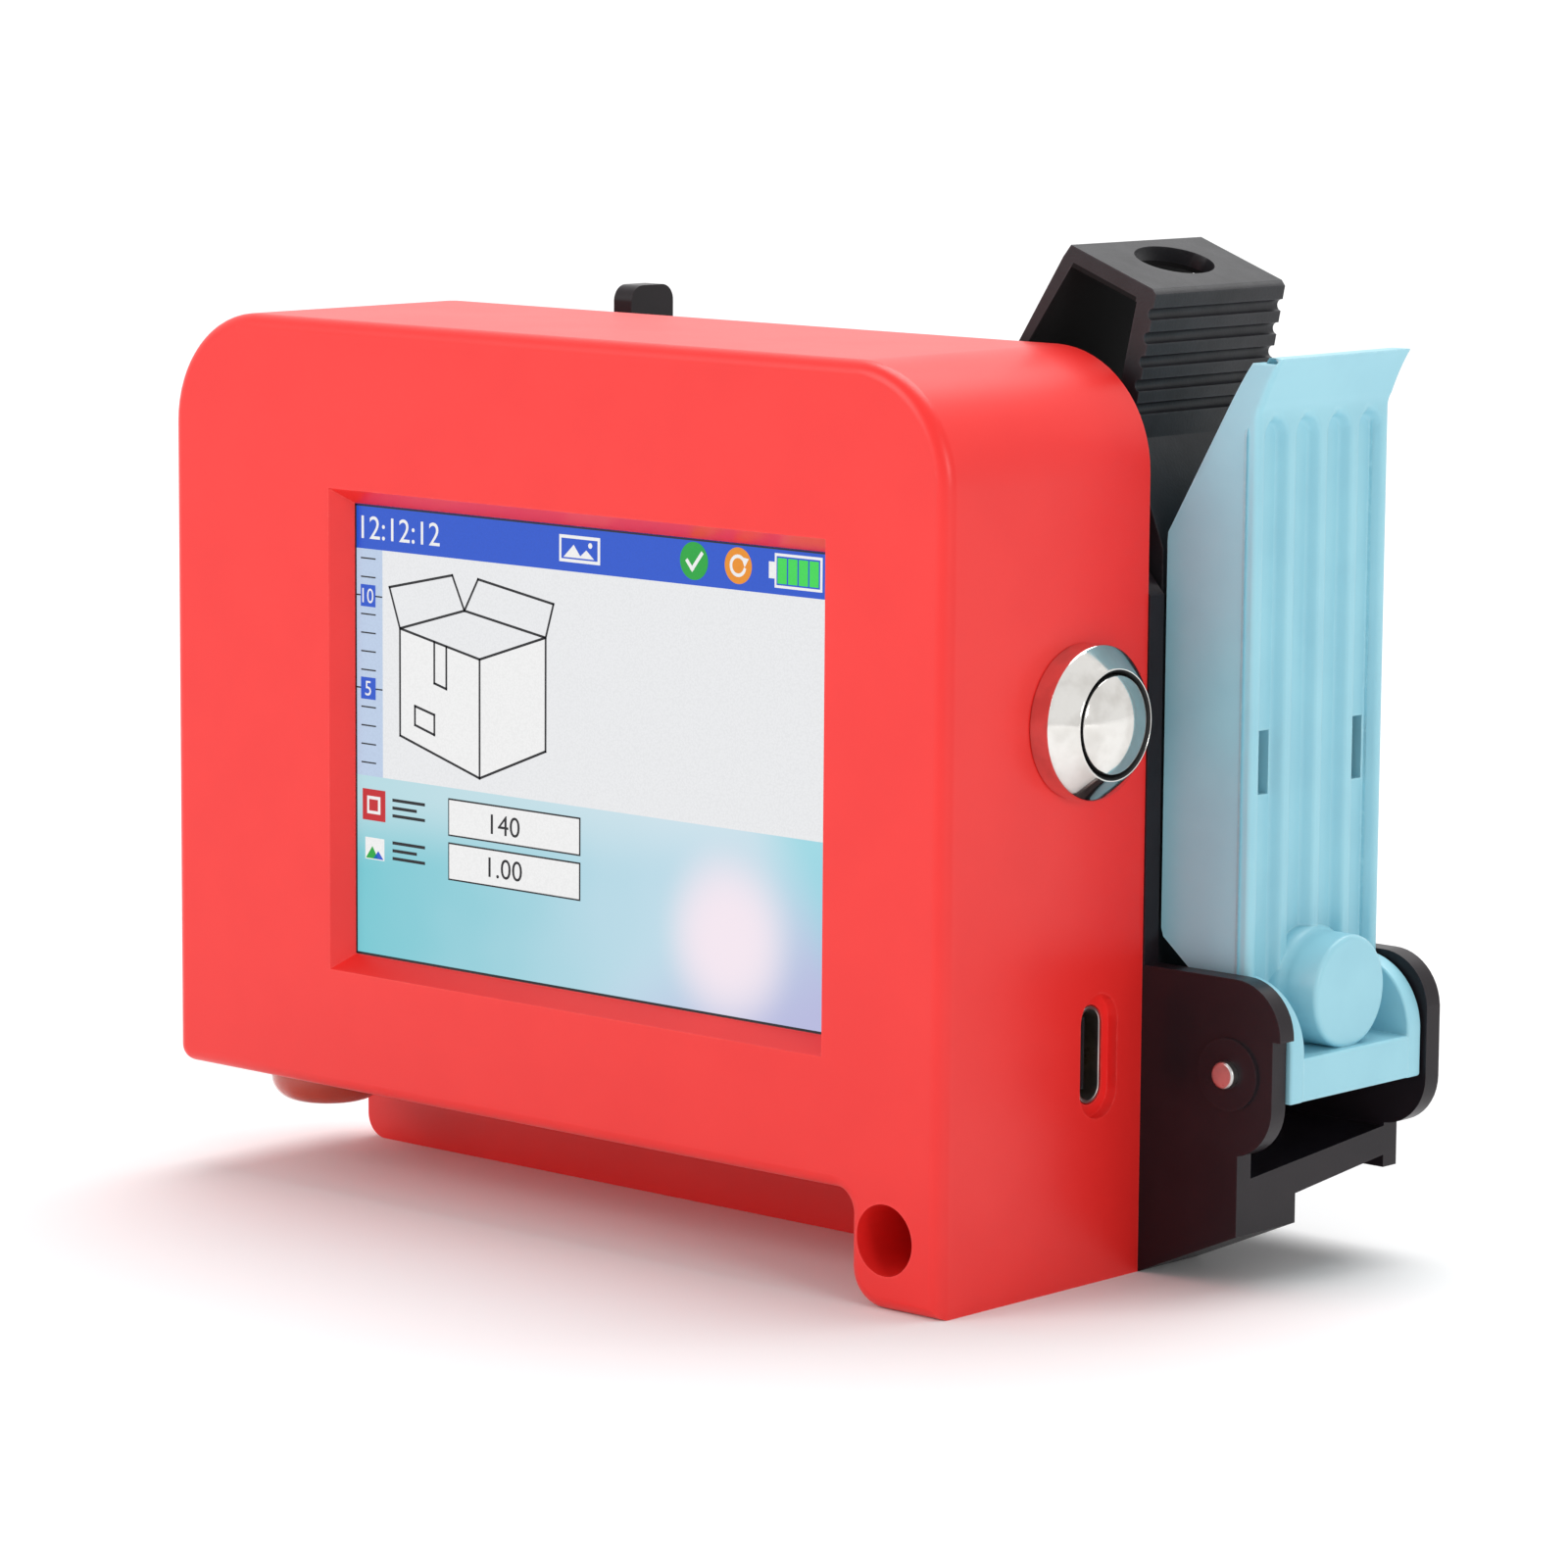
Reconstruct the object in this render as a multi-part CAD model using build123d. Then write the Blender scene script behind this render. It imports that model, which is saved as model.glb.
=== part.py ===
from build123d import *
from math import asin, atan2, degrees
import os

# Small date code inkjet printer: a red case with a touch screen, a black stall behind it
# that carries an ink cartridge, and a pale blue latch that holds the cartridge in.
# Millimetres. The model is drawn with x from the case's left side, y from its front face
# and z from the surface it stands on, and is moved to the middle of its footprint at the end.

# Case
case_width = 98.8
case_depth = 27.9
case_height = 84.0
case_corner = 11.0
wall = 2.2
front_edge = 1.4
undercut_height = 10.15
foot_width = 10.7
foot_corner = 3.5
low_corner = 1.6
notch_corner = 2.0
skirt_inset = 4.6
skirt_depth = 6.3
skirt_corner = 2.4
cover_gap = 0.15
boss_radius = 3.0
small_boss_radius = 2.4
cover_screw_side = 7.0
cover_screw_top = 9.0
cover_screw_low = 21.5
cover_screw_right = 7.8
foot_screw_side = 16.8
foot_screw_height = 16.6
cover_screw_length = 9.0
cover_boss_depth = 12.0

# Hole through the foot's front for a mounting rod
rod_hole_radius = 3.25
rod_hole_height = 6.4
rod_hole_side = 6.4
rod_hole_depth = 20.0

# Screen
window_width = 60.0
window_height = 43.2
window_left = 23.3
window_bottom = 23.4
bevel = 1.5
touch_thickness = 1.1
lcd_thickness = 2.2
lcd_overlap = 2.2
lcd_frame_wall = 0.5
retainer_thickness = 1.8
retainer_border = 6.0
retainer_screw_side = 7.3
retainer_screw_low = 6.6
retainer_screw_top = 4.6
retainer_screw_length = 3.0
retainer_hole_depth = 3.2
board_screw_tip = 0.3
button_side_shift = 2.0

# Boards and battery
board_thickness = 1.6
board_corner = 1.5
board_right_margin = 23.3
board_height = 56.0
board_left = 12.5
board_bottom = 16.4
board_standoff = 1.4
battery_width = 58.0
battery_height = 38.0
battery_thickness = 8.0
battery_left = 12.0
battery_bottom = 21.0
battery_pad_thickness = 1.0
battery_pad_inset = 6.0
battery_corner = 2.5
shield_size = 18.0
shield_height = 2.4
shield_wall = 0.4
shield_left = 17.5
shield_bottom = 27.6
chip_size = (4.4, 5.2)
chip_height = 1.1
chip_pitch = (6.5, 8.0)
chips_left = 37.3
chips_bottom = 15.0
capacitor_radius = 1.9
capacitor_height = 3.2
capacitor_pitch = 5.0
capacitors_bottom = 14.6
buzzer_radius = 4.4
buzzer_height = 4.0
buzzer_hole = 1.0
buzzer_left = 45.5
buzzer_bottom = 48.2
lead_radius = 0.5
lead_bend = 1.2
lead_pitch = 1.4
ribbon_thickness = 0.3
ribbon_bend = 0.9
ribbon_margin = 1.2
ribbon_socket_height = 1.6
small_socket_width = 4.6
ribbon_inset = 4.0
ribbon_grip = 3.4
ribbon_rise = 1.1
board_socket_height = 2.2
battery_plug_depth = 2.4
battery_lead_rise = 1.2
battery_lead_height = 8.0
battery_lead_run = 3.4
connector_long = 10.0
connector_low = 45.0

# Screws
screw_radius = 1.15
screw_head_radius = 2.2
screw_head_height = 1.3
screw_fit = 0.1
pan_head_radius = 1.87
pan_thread_radius = 0.92
driver_radius = 0.8
driver_depth = 0.7
driver_slot = 0.5

# Trigger button
bezel_lip = 1.1
bezel_rim = 2.2
bezel_face_gap = 0.35
bezel_height = 4.2
plunger_radius = 4.5
plunger_fit = 0.08
plunger_dome = 1.2
barrel_radius = 5.9
barrel_length = 18.3
barrel_fit = 0.1
button_depth = 18.4
button_height = 51.6
shoulder_depth = 1.8
collar_length = 2.2
collar_step = 0.6
collar_fit = 0.1
plunger_tail = 6.5
spring_seat = 1.8
spring_wire = 0.3
spring_room = 0.35
spring_turns = 5
nut_lip = 1.1
nut_thickness = 2.4
washer_thickness = 0.6
washer_inset = 0.1
contact_block_length = 2.6
terminal_length = 2.8
terminal_spread = 2.2
terminal_size = (0.5, 1.8)
button_lead_radius = 0.45
button_lead_run = 2.4
button_socket_size = (4.2, 8.0)
button_socket_height = 4.2

# Charging socket
socket_depth = 21.8
socket_height = 20.8
socket_long = 8.94
socket_short = 3.2
socket_length = 7.3
recess_long = 11.4
recess_short = 5.2
recess_depth = 1.1
socket_sheet = 0.3
tongue_thickness = 0.7
tongue_width = 6.6
tongue_setback = 0.9
small_board = 1.0
post_spread = 5.9
post_radius = 2.0
post_length = 3.0
post_side = 11.6
bridge_thickness = 1.6
bridge_side = (13.4, 9.6)
bridge_margin = 2.0

# Product sensor under the case
lens_radius = 5.6
lens_height = 3.95
lens_x = 10.0
lens_y = 11.0
lens_stem = 4.2
lens_round = 2.4
lens_proud = 0.4
sensor_board_size = (13.0, 12.0)
sensor_chip_radius = 1.5
sensor_chip_height = 2.0
sensor_chip_spread = 2.6

# Cartridge stall
stall_wall = 2.0
pocket_width = 20.0
stall_left = 28.6
end_wall = 2.4
stall_shoulder = 78.0
stall_top = 70.0
floor_bottom = 8.0
floor_thickness = 2.5
floor_reach = 2.2
rail_width = 8.7
rail_reach = 11.2
apron_rise = 2.3
apron_start = 1.2
apron_front = 1.4
apron_lip = 0.7
rail_rise = 4.9
cheek_reach = 0.2
cheek_slope = 7.0
cheek_shoulder = 8.0
shoulder_run = (10.0, 16.0)
ear_top = 28.4
ear_reach = 15.8
ear_bottom = 12.2
ear_corner = 5.5
ear_low_corner = 4.8
ear_round = 0.4
ear_step = 0.85
ear_step_height = 23.2
ear_root = 8.8
stall_screw_left = 7.4
stall_screw_top = 5.5
stall_screw_low = 5.1
stall_screw_right = 10.8
stall_screw_middle = 26.8
stall_screw_length = 8.0
stall_boss_length = 5.0
cover_depth = 8.1
cover_corner = 2.5
cover_wall = 1.5
contact_height = 33.0
contact_window_margin = 3.0
contact_board_low = 20.0
contact_board_gap = 0.4
contact_board_margin = 0.3
contact_screw_height = 74.0
contact_screw_inset = 1.8
contact_boss_radius = 2.2
cover_top = 80.0
tab_top = 85.8
tab_width = 6.0
tab_thickness = 2.4
tab_setback = 2.4
tab_corner = 1.6

# Latch
pin_reach = 10.1
pin_z = 19.7
pin_radius = 1.25
pin_fit = 0.05
pin_seat = 0.02
pin_round = 0.25
pin_proud = 0.8
pin_boss = 3.3
pin_boss_height = 0.3
latch_side_gap = 0.25
latch_wall = 1.6
latch_reach = 10.3
latch_depth = 10.0
latch_shoulder = 67.5
latch_top = 83.8
lip_bottom = 79.2
lip_flare = 2.4
lip_thickness = 1.5
lip_round = (0.8, 0.5)
shoulder_lean = 0.2
latch_foot = 31.0
foot_slope = 6.0
knuckle = 1.2
rib_depth = 0.8
rib_width = 0.9
rib_count = 3
border_width = 1.0
rib_top = 77.6
rib_ramp = 1.2
flange_reach = 5.1
flange_bottom = 17.2
flange_arc = 6.6
flange_toe = 4.4
toe_height = 4.0
gusset_wall = 2.0
cap_radius = 5.2
cap_reach = 4.2
cap_round = 0.4
cap_wall = 1.2
cap_height = 26.2
slot_bottom = 44.4
slot_height = 5.8
slot_width = 2.0

# Sprung pad in the latch
pad_radius = 4.0
pad_thickness = 2.0
pad_stem = 2.95
pad_fit = 0.05
pad_gap = 0.2
pad_round = 0.6
pad_end_gap = 0.6
pad_spring_wire = 0.22
pad_spring_turns = 3.2
pad_spring_inset = 0.7
pad_spring_end = 0.03
sleeve_length = 3.1
sleeve_wall = 1.6

# Ink cartridge
cartridge_gap = 0.5
cartridge_lead = 0.5
cartridge_setback = 0.4
cartridge_top = 76.0
cartridge_shoulder = 66.0
cartridge_wall = 1.6
lid_thickness = 1.2
bag_gap = 0.5
bag_corner = 3.0
lid_inset = 0.3
grip_length = 23.0
grip_peak_setback = 11.2
grip_peak_z = 92.8
grip_peak_round = (0.9, 1.1)
grip_end_setback = 1.3
grip_end_z = 89.1
grip_end_round = (0.4, 0.35)
grip_root_setback = 4.1
grip_slope_wall = 2.6
grip_top_wall = (2.0, 3.6, 1.1)
grip_floor = 1.2
grip_front_wall = 2.2
grip_root_wall = 1.9
grip_ribs = 5
grip_rib_pitch = 2.15
grip_groove = 0.55
grip_groove_out = 0.15
grip_hole_length = 9.3
grip_hole_width = 6.2
grip_hole_setback = 7.0
grip_hole_shift = 0.3
snout_length = 24.5
snout_width = 15.0
snout_bottom = 1.2
snout_gap = 1.0
snout_chamfer = 2.0
outlet_radius = 3.0
outlet_depth = 4.0
filter_thickness = 1.2
filter_fit = 0.1
filler_setback = 22.0
filler_radius = 2.5
filler_fit = 0.05
filler_rise = 0.1
flex_width = 14.0
flex_thickness = 0.15
flex_top = 50.0
nozzle_length = 14.0
nozzle_width = 4.8
nozzle_thickness = 0.1
flex_setback = 3.0
contact_rows = 13
contact_columns = 4
contact_pitch = 2.4
contact_size = 0.8
contact_gap = 0.3

# Places that follow from the sizes above
case_right = case_width
pocket_front = case_depth + stall_wall
pocket_back = pocket_front + pocket_width
stall_back = pocket_back + stall_wall
pocket_middle = (pocket_front + pocket_back) / 2
floor_top = floor_bottom + floor_thickness
cover_front = case_depth - wall
stall_boss_front = cover_front - stall_boss_length
inner_bottom = undercut_height + wall
window_right = window_left + window_width
window_top = window_bottom + window_height
touch_back = wall + touch_thickness
lcd_back = touch_back + lcd_thickness
lcd_frame_back = lcd_back + lcd_frame_wall
retainer_back = lcd_frame_back + retainer_thickness
retainer_hole_end = lcd_frame_back - retainer_hole_depth
board_front = retainer_back + board_standoff
board_back = board_front + board_thickness
board_right = case_right - board_right_margin
board_top = board_bottom + board_height
battery_right = battery_left + battery_width
battery_back = cover_front - battery_pad_thickness
battery_front = battery_back - battery_thickness
foot_left = case_right - foot_width
rod_hole_x = case_right - rod_hole_side
bezel_radius = barrel_radius + bezel_lip
barrel_start = case_right - barrel_length
bezel_top = case_right + bezel_height
button_shoulder = case_right - shoulder_depth
washer_face = case_right - wall - washer_thickness
block_end = barrel_start - contact_block_length
terminal_end = block_end - terminal_length
lead_end_x = terminal_end - button_lead_run
socket_end = case_right - recess_depth
socket_seat = socket_depth + socket_short / 2
post_x = case_right - post_side
post_places = [socket_height - post_spread, socket_height + post_spread]
sensor_base = inner_bottom + lens_proud
stall_right = case_right + rail_reach
ear_right = case_right + ear_reach
cover_left = stall_left - cover_depth
pin_x = case_right + pin_reach
pin_start = case_depth - pin_boss_height - pin_proud
pin_end = stall_back + pin_boss_height + pin_proud
latch_face = case_right + latch_reach
latch_left = latch_face - latch_depth
latch_front = pocket_front + latch_side_gap
latch_back = pocket_back - latch_side_gap
latch_inside = latch_face - rib_depth - latch_wall
knuckle_left = latch_inside - knuckle
flange_right = latch_face + flange_reach
flange_middle = flange_bottom + flange_toe
cap_right = latch_face + cap_reach
sleeve_radius = pad_stem + pad_fit + sleeve_wall
pad_end = latch_face - pad_end_gap
cartridge_left = stall_left + end_wall + cartridge_lead
cartridge_right = case_right - cartridge_setback
cartridge_front = pocket_front + cartridge_gap
cartridge_back = pocket_back - cartridge_gap
lid_front = cartridge_back - lid_thickness
grip_foot = cartridge_right - grip_length
grip_peak_x = cartridge_right - grip_peak_setback
grip_end_x = cartridge_right - grip_end_setback
grip_root_x = cartridge_right - grip_root_setback
grip_tilt = degrees(atan2(grip_peak_z - grip_end_z, grip_end_x - grip_peak_x))
snout_right = cartridge_left + snout_length
snout_middle = cartridge_left + snout_length / 2
filler_x = cartridge_right - filler_setback
connector_z = (board_bottom + connector_low, board_bottom + connector_low + connector_long)
contact_face = stall_left - board_thickness
ribbon_x = contact_face - ribbon_socket_height - ribbon_margin
ribbon_z = (connector_z[0] + 1, connector_z[1] - 1)
ribbon_socket_back = board_back + board_socket_height
board_ribbon_y = board_back + ribbon_rise
contact_ribbon_y = pocket_front + ribbon_inset
ribbon_slot = (ribbon_z[0] - ribbon_margin / 2, ribbon_z[1] + ribbon_margin / 2)
battery_socket_margin = 2
battery_socket_length = 8
battery_socket_x = (
    battery_right - battery_socket_margin - battery_socket_length,
    battery_right - battery_socket_margin,
)
battery_socket_z = (board_bottom + 0.4, battery_bottom - 0.4)

cover_screw_places = [
    (cover_screw_side, cover_screw_low),
    (cover_screw_side, case_height - cover_screw_top),
    (case_right - foot_screw_side, foot_screw_height),
    (case_right - cover_screw_right, case_height - cover_screw_top),
]
stall_screw_places = [
    (stall_left + stall_screw_left, stall_top - stall_screw_top),
    (case_right - stall_screw_right, stall_top - stall_screw_top),
    (stall_left + stall_screw_left, floor_top + stall_screw_low),
    (case_right - stall_screw_middle, floor_top + stall_screw_low),
]
retainer_screw_places = [
    (window_left - retainer_screw_side, window_bottom + retainer_screw_low),
    (window_left - retainer_screw_side, window_top - retainer_screw_top),
    (window_right + retainer_screw_side, window_bottom + retainer_screw_low + button_side_shift),
    (window_right + retainer_screw_side, window_top - retainer_screw_top + button_side_shift),
]
board_screw_left = 10
board_screw_span = 55.5
board_screw_low = 7.6
board_screw_high = 5.9
board_screw_places = [
    (board_left + board_screw_left, board_bottom + board_screw_low),
    (board_left + board_screw_left, board_top - board_screw_high),
    (board_left + board_screw_span, board_bottom + board_screw_low),
    (board_left + board_screw_span, board_top - board_screw_high),
]
contact_screw_places = [
    (pocket_front + contact_screw_inset, contact_screw_height),
    (pocket_back - contact_screw_inset, contact_screw_height),
]


def block(x, y, z):
    """A box from pairs of low and high values."""
    size = [high - low for low, high in (x, y, z)]
    middle = [(high + low) / 2 for low, high in (x, y, z)]
    return Pos(*middle) * Box(*size)


def along_x(sketch, start, end):
    """A sketch drawn in y and z, made solid from start to end."""
    return extrude(Plane.YZ.offset(start) * sketch, amount=end - start)


def along_y(sketch, start, end):
    """A sketch drawn in x and z, made solid from start to end."""
    return extrude(Plane.XZ.offset(-start) * sketch, amount=start - end)


def along_z(sketch, start, end):
    """A sketch drawn in x and y, made solid from start to end."""
    return extrude(Plane.XY.offset(start) * sketch, amount=end - start)


def outline(*points):
    return make_face(Polyline(*points, close=True))


def rod_x(y, z, radius, start, end):
    return along_x(Pos(y, z) * Circle(radius), start, end)


def rod_y(x, z, radius, start, end):
    return along_y(Pos(x, z) * Circle(radius), start, end)


def rod_z(x, y, radius, start, end):
    return along_z(Pos(x, y) * Circle(radius), start, end)


def round_corner(sketch, x, y, radius):
    """The sketch with the corner nearest to x, y rounded."""
    corner = min(sketch.vertices(), key=lambda v: (v.X - x) ** 2 + (v.Y - y) ** 2)
    return fillet(corner, radius)


def rounded_outline(points, radii):
    sketch = outline(*points)
    for (x, y), radius in zip(points, radii):
        if radius:
            sketch = round_corner(sketch, x, y, radius)
    return sketch


def countersunk(x, z, head_y, tip_y):
    """A screw along y whose flat head lies at head_y and whose tip lies at tip_y."""
    way = 1 if tip_y > head_y else -1
    neck = head_y + way * screw_head_height
    shank = rod_y(x, z, screw_radius, min(head_y, tip_y), max(head_y, tip_y))
    plane = Plane(origin=(x, head_y, z), x_dir=(1, 0, 0), z_dir=(0, way, 0))
    rim = plane * Circle(screw_head_radius)
    root = plane.offset(abs(neck - head_y)) * Circle(screw_radius)
    head = loft([rim.face(), root.face()])
    recess = rod_y(x, z, driver_radius, *sorted((head_y, head_y + way * driver_depth)))
    return shank + head - recess


def countersink(x, z, head_y, through_y):
    """The clearance for a countersunk screw along y."""
    way = 1 if through_y > head_y else -1
    plane = Plane(origin=(x, head_y, z), x_dir=(1, 0, 0), z_dir=(0, way, 0))
    rim = plane * Circle(screw_head_radius + screw_fit)
    root = plane.offset(screw_head_height + screw_fit) * Circle(screw_radius + screw_fit)
    hole = rod_y(x, z, screw_radius + screw_fit, *sorted((head_y, through_y)))
    return hole + loft([rim.face(), root.face()])


def pan_screw(x, z, seat_y, tip_y):
    """A screw along -y whose round head stands behind seat_y."""
    head = rod_y(x, z, pan_head_radius, seat_y, seat_y + screw_head_height)
    slot = block(
        (x - screw_head_radius, x + screw_head_radius),
        (seat_y + screw_head_height / 2, seat_y + 2 * screw_head_height),
        (z - driver_slot / 2, z + driver_slot / 2),
    )
    return rod_y(x, z, pan_thread_radius, tip_y, seat_y) + head - slot


# Case

def case_outline():
    """The front face: a plate with a deeper foot at its right."""
    points = [
        (0, undercut_height),
        (foot_left, undercut_height),
        (foot_left, 0),
        (case_width, 0),
        (case_width, case_height),
        (0, case_height),
    ]
    radii = [low_corner, notch_corner, foot_corner, 0, case_corner, case_corner]
    return rounded_outline(points, radii)


def inner_outline(gap):
    """The inside of the case above its underside, drawn in by the gap."""
    low, side = inner_bottom + gap, wall + gap
    points = [
        (side, low),
        (case_width - side, low),
        (case_width - side, case_height - side),
        (side, case_height - side),
    ]
    inner_corner = case_corner - side
    return rounded_outline(points, [low_corner / 2, low_corner / 2, inner_corner, inner_corner])


def window_cut():
    """The screen opening with its sloping surround."""
    middle = ((window_left + window_right) / 2, (window_bottom + window_top) / 2)
    front = Plane.XZ * Pos(*middle) * Rectangle(window_width + 2 * bevel, window_height + 2 * bevel)
    back = Plane.XZ.offset(-wall) * Pos(*middle) * Rectangle(window_width, window_height)
    return loft([front.face(), back.face()])


def make_front_shell():
    shell = along_y(case_outline(), 0, case_depth)
    shell = fillet(shell.faces().sort_by(Axis.Y)[0].edges(), front_edge)
    shell -= along_y(inner_outline(0), wall, case_depth)
    for x, z in cover_screw_places:
        shell += rod_y(x, z, boss_radius, wall, cover_front)
        shell -= rod_y(x, z, screw_radius + screw_fit / 2, cover_front - cover_boss_depth, cover_front)
    for x, z in retainer_screw_places:
        shell += rod_y(x, z, small_boss_radius, wall, lcd_frame_back)
        shell -= rod_y(x, z, pan_thread_radius + screw_fit / 2, retainer_hole_end, lcd_frame_back)
    shell -= window_cut()
    shell -= rod_y(rod_hole_x, rod_hole_height, rod_hole_radius, 0, rod_hole_depth)
    tip = Pos(rod_hole_x, rod_hole_depth, rod_hole_height) * Sphere(rod_hole_radius)
    shell -= tip
    shell -= rod_x(button_depth, button_height, barrel_radius + barrel_fit, case_right - wall, case_right)
    recess = Pos(socket_depth, socket_height) * SlotOverall(recess_long, recess_short, rotation=90)
    socket = Pos(socket_depth, socket_height) * SlotOverall(
        socket_long + 2 * screw_fit, socket_short + 2 * screw_fit, rotation=90
    )
    shell -= along_x(recess, case_right - recess_depth, case_right)
    shell -= along_x(socket, case_right - wall, case_right)
    shell -= rod_z(lens_x, lens_y, lens_stem + screw_fit, undercut_height, inner_bottom)
    shell -= block(
        (skirt_inset - cover_gap, foot_left + cover_gap),
        (cover_front, case_depth),
        (undercut_height, inner_bottom),
    )
    return shell


def make_rear_cover():
    cover = along_y(inner_outline(cover_gap), cover_front, case_depth)
    skirt = rounded_outline(
        [(skirt_inset, 0), (foot_left, 0), (foot_left, undercut_height), (skirt_inset, undercut_height)],
        [skirt_corner, 0, 0, 0],
    )
    cover += along_y(skirt, case_depth - skirt_depth, case_depth)
    cover += block(
        (skirt_inset, foot_left),
        (cover_front + cover_gap, case_depth),
        (undercut_height, inner_bottom + wall / 2),
    )
    for x, z in cover_screw_places:
        cover -= countersink(x, z, case_depth, cover_front)
    for x, z in stall_screw_places:
        cover += rod_y(x, z, boss_radius, stall_boss_front, cover_front)
        cover -= rod_y(x, z, screw_radius + screw_fit / 2, stall_boss_front, case_depth)
    cover -= block(
        (ribbon_x - ribbon_margin, ribbon_x + ribbon_margin),
        (cover_front, case_depth),
        ribbon_slot,
    )
    return cover


def make_cover_screws():
    tip = case_depth - cover_screw_length
    return Compound([countersunk(x, z, case_depth, tip) for x, z in cover_screw_places])


# Screen

def screen_block(grow, start, end):
    return block(
        (window_left - grow, window_right + grow), (start, end), (window_bottom - grow, window_top + grow)
    )


def make_touch_panel():
    return screen_block(lcd_overlap, wall, touch_back)


def make_lcd_panel():
    return screen_block(lcd_overlap - lcd_frame_wall - screw_fit, touch_back, lcd_back)


def make_lcd_frame():
    frame = screen_block(lcd_overlap, touch_back, lcd_frame_back)
    return frame - screen_block(lcd_overlap - lcd_frame_wall, touch_back, lcd_back)


def make_screen_retainer():
    retainer = screen_block(lcd_overlap, lcd_frame_back, retainer_back)
    retainer -= screen_block(-retainer_border, lcd_frame_back, retainer_back)
    for x, z in retainer_screw_places:
        inner = window_left if x < case_width / 2 else window_right
        arm = block(
            (min(x, inner), max(x, inner)),
            (lcd_frame_back, retainer_back),
            (z - boss_radius, z + boss_radius),
        )
        retainer += arm + rod_y(x, z, boss_radius, lcd_frame_back, retainer_back)
    for x, z in retainer_screw_places:
        retainer -= rod_y(x, z, pan_thread_radius + screw_fit, lcd_frame_back, retainer_back)
    for x, z in board_screw_places:
        retainer += rod_y(x, z, small_boss_radius, retainer_back, board_front)
        retainer -= rod_y(x, z, pan_thread_radius + screw_fit / 2, lcd_frame_back, board_front)
    return retainer


def make_retainer_screws():
    tip = lcd_frame_back - retainer_screw_length
    return Compound([pan_screw(x, z, retainer_back, tip) for x, z in retainer_screw_places])


# Electronics

def make_main_board():
    board = block((board_left, board_right), (board_front, board_back), (board_bottom, board_top))
    board = fillet(board.edges().filter_by(Axis.Y), board_corner)
    for x, z in board_screw_places:
        board -= rod_y(x, z, pan_thread_radius + screw_fit, board_front, board_back)
    return board


def make_board_screws():
    tip = lcd_frame_back + board_screw_tip
    return Compound([pan_screw(x, z, board_back, tip) for x, z in board_screw_places])


def make_processor_shield():
    left, low = board_left + shield_left, board_bottom + shield_bottom
    can = block(
        (left, left + shield_size),
        (board_back, board_back + shield_height),
        (low, low + shield_size),
    )
    can = fillet(can.edges().filter_by(Axis.Y), board_corner)
    inside = block(
        (left + shield_wall, left + shield_size - shield_wall),
        (board_back, board_back + shield_height - shield_wall),
        (low + shield_wall, low + shield_size - shield_wall),
    )
    return can - inside


def make_board_chips():
    wide, tall = chip_size
    first_x, first_z = board_left + chips_left, board_bottom + chips_bottom
    chips = []
    for column in range(3):
        x = first_x + chip_pitch[0] * column
        for row in range(3):
            z = first_z + chip_pitch[1] * row
            chips.append(
                block((x, x + wide), (board_back, board_back + chip_height), (z, z + tall))
            )
    for column in range(4):
        x = board_left + shield_left + capacitor_pitch * column
        z = board_bottom + capacitors_bottom
        chips.append(rod_y(x, z, capacitor_radius, board_back, board_back + capacitor_height))
    return Compound(chips)


def make_board_connectors():
    left = ribbon_x + ribbon_margin
    ribbon_socket = block((left, left + ribbon_grip), (board_back, ribbon_socket_back), connector_z)
    ribbon_socket -= block(
        (left, left + ribbon_grip - ribbon_margin),
        (board_ribbon_y - ribbon_thickness * 2 / 3, board_ribbon_y + ribbon_thickness * 2 / 3),
        ribbon_z,
    )
    battery_socket = block(
        battery_socket_x,
        (board_back, battery_front + battery_plug_depth),
        battery_socket_z,
    )
    wide, tall = button_socket_size
    button_socket = block(
        (lead_end_x - wide / 2, lead_end_x + wide / 2),
        (board_back, board_back + button_socket_height),
        (button_height - tall / 2, button_height + tall / 2),
    )
    return Compound([ribbon_socket, battery_socket, button_socket])


def make_buzzer():
    x, z = board_left + buzzer_left, board_bottom + buzzer_bottom
    body = rod_y(x, z, buzzer_radius, board_back, board_back + buzzer_height)
    buzzer_back = board_back + buzzer_height
    return body - rod_y(x, z, buzzer_hole, buzzer_back - buzzer_hole, buzzer_back)


def make_battery_pack():
    cell = block(
        (battery_left, battery_right),
        (battery_front, battery_back),
        (battery_bottom, battery_bottom + battery_height),
    )
    return fillet(cell.edges().filter_by(Axis.Z), battery_corner)


def make_battery_pad():
    inset = battery_pad_inset
    return block(
        (battery_left + inset, battery_right - inset),
        (battery_back, cover_front),
        (battery_bottom + inset, battery_bottom + battery_height - inset),
    )


def wire(points, radius, bend):
    path = FilletPolyline(*points, radius=bend)
    start = Plane(origin=path @ 0, z_dir=path % 0)
    return sweep(start * Circle(radius), path=path)


def make_battery_lead():
    lead_y = battery_front + battery_lead_rise
    wires = []
    for step in (0.0, lead_pitch):
        turn_x = battery_right + battery_lead_run + step
        high = battery_bottom + battery_lead_height + step
        low = battery_socket_z[0] + battery_lead_rise + step
        points = [
            (battery_right, lead_y, high),
            (turn_x, lead_y, high),
            (turn_x, lead_y, low),
            (battery_socket_x[1], lead_y, low),
        ]
        wires.append(wire(points, lead_radius, lead_bend))
    return Compound(wires)


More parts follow.
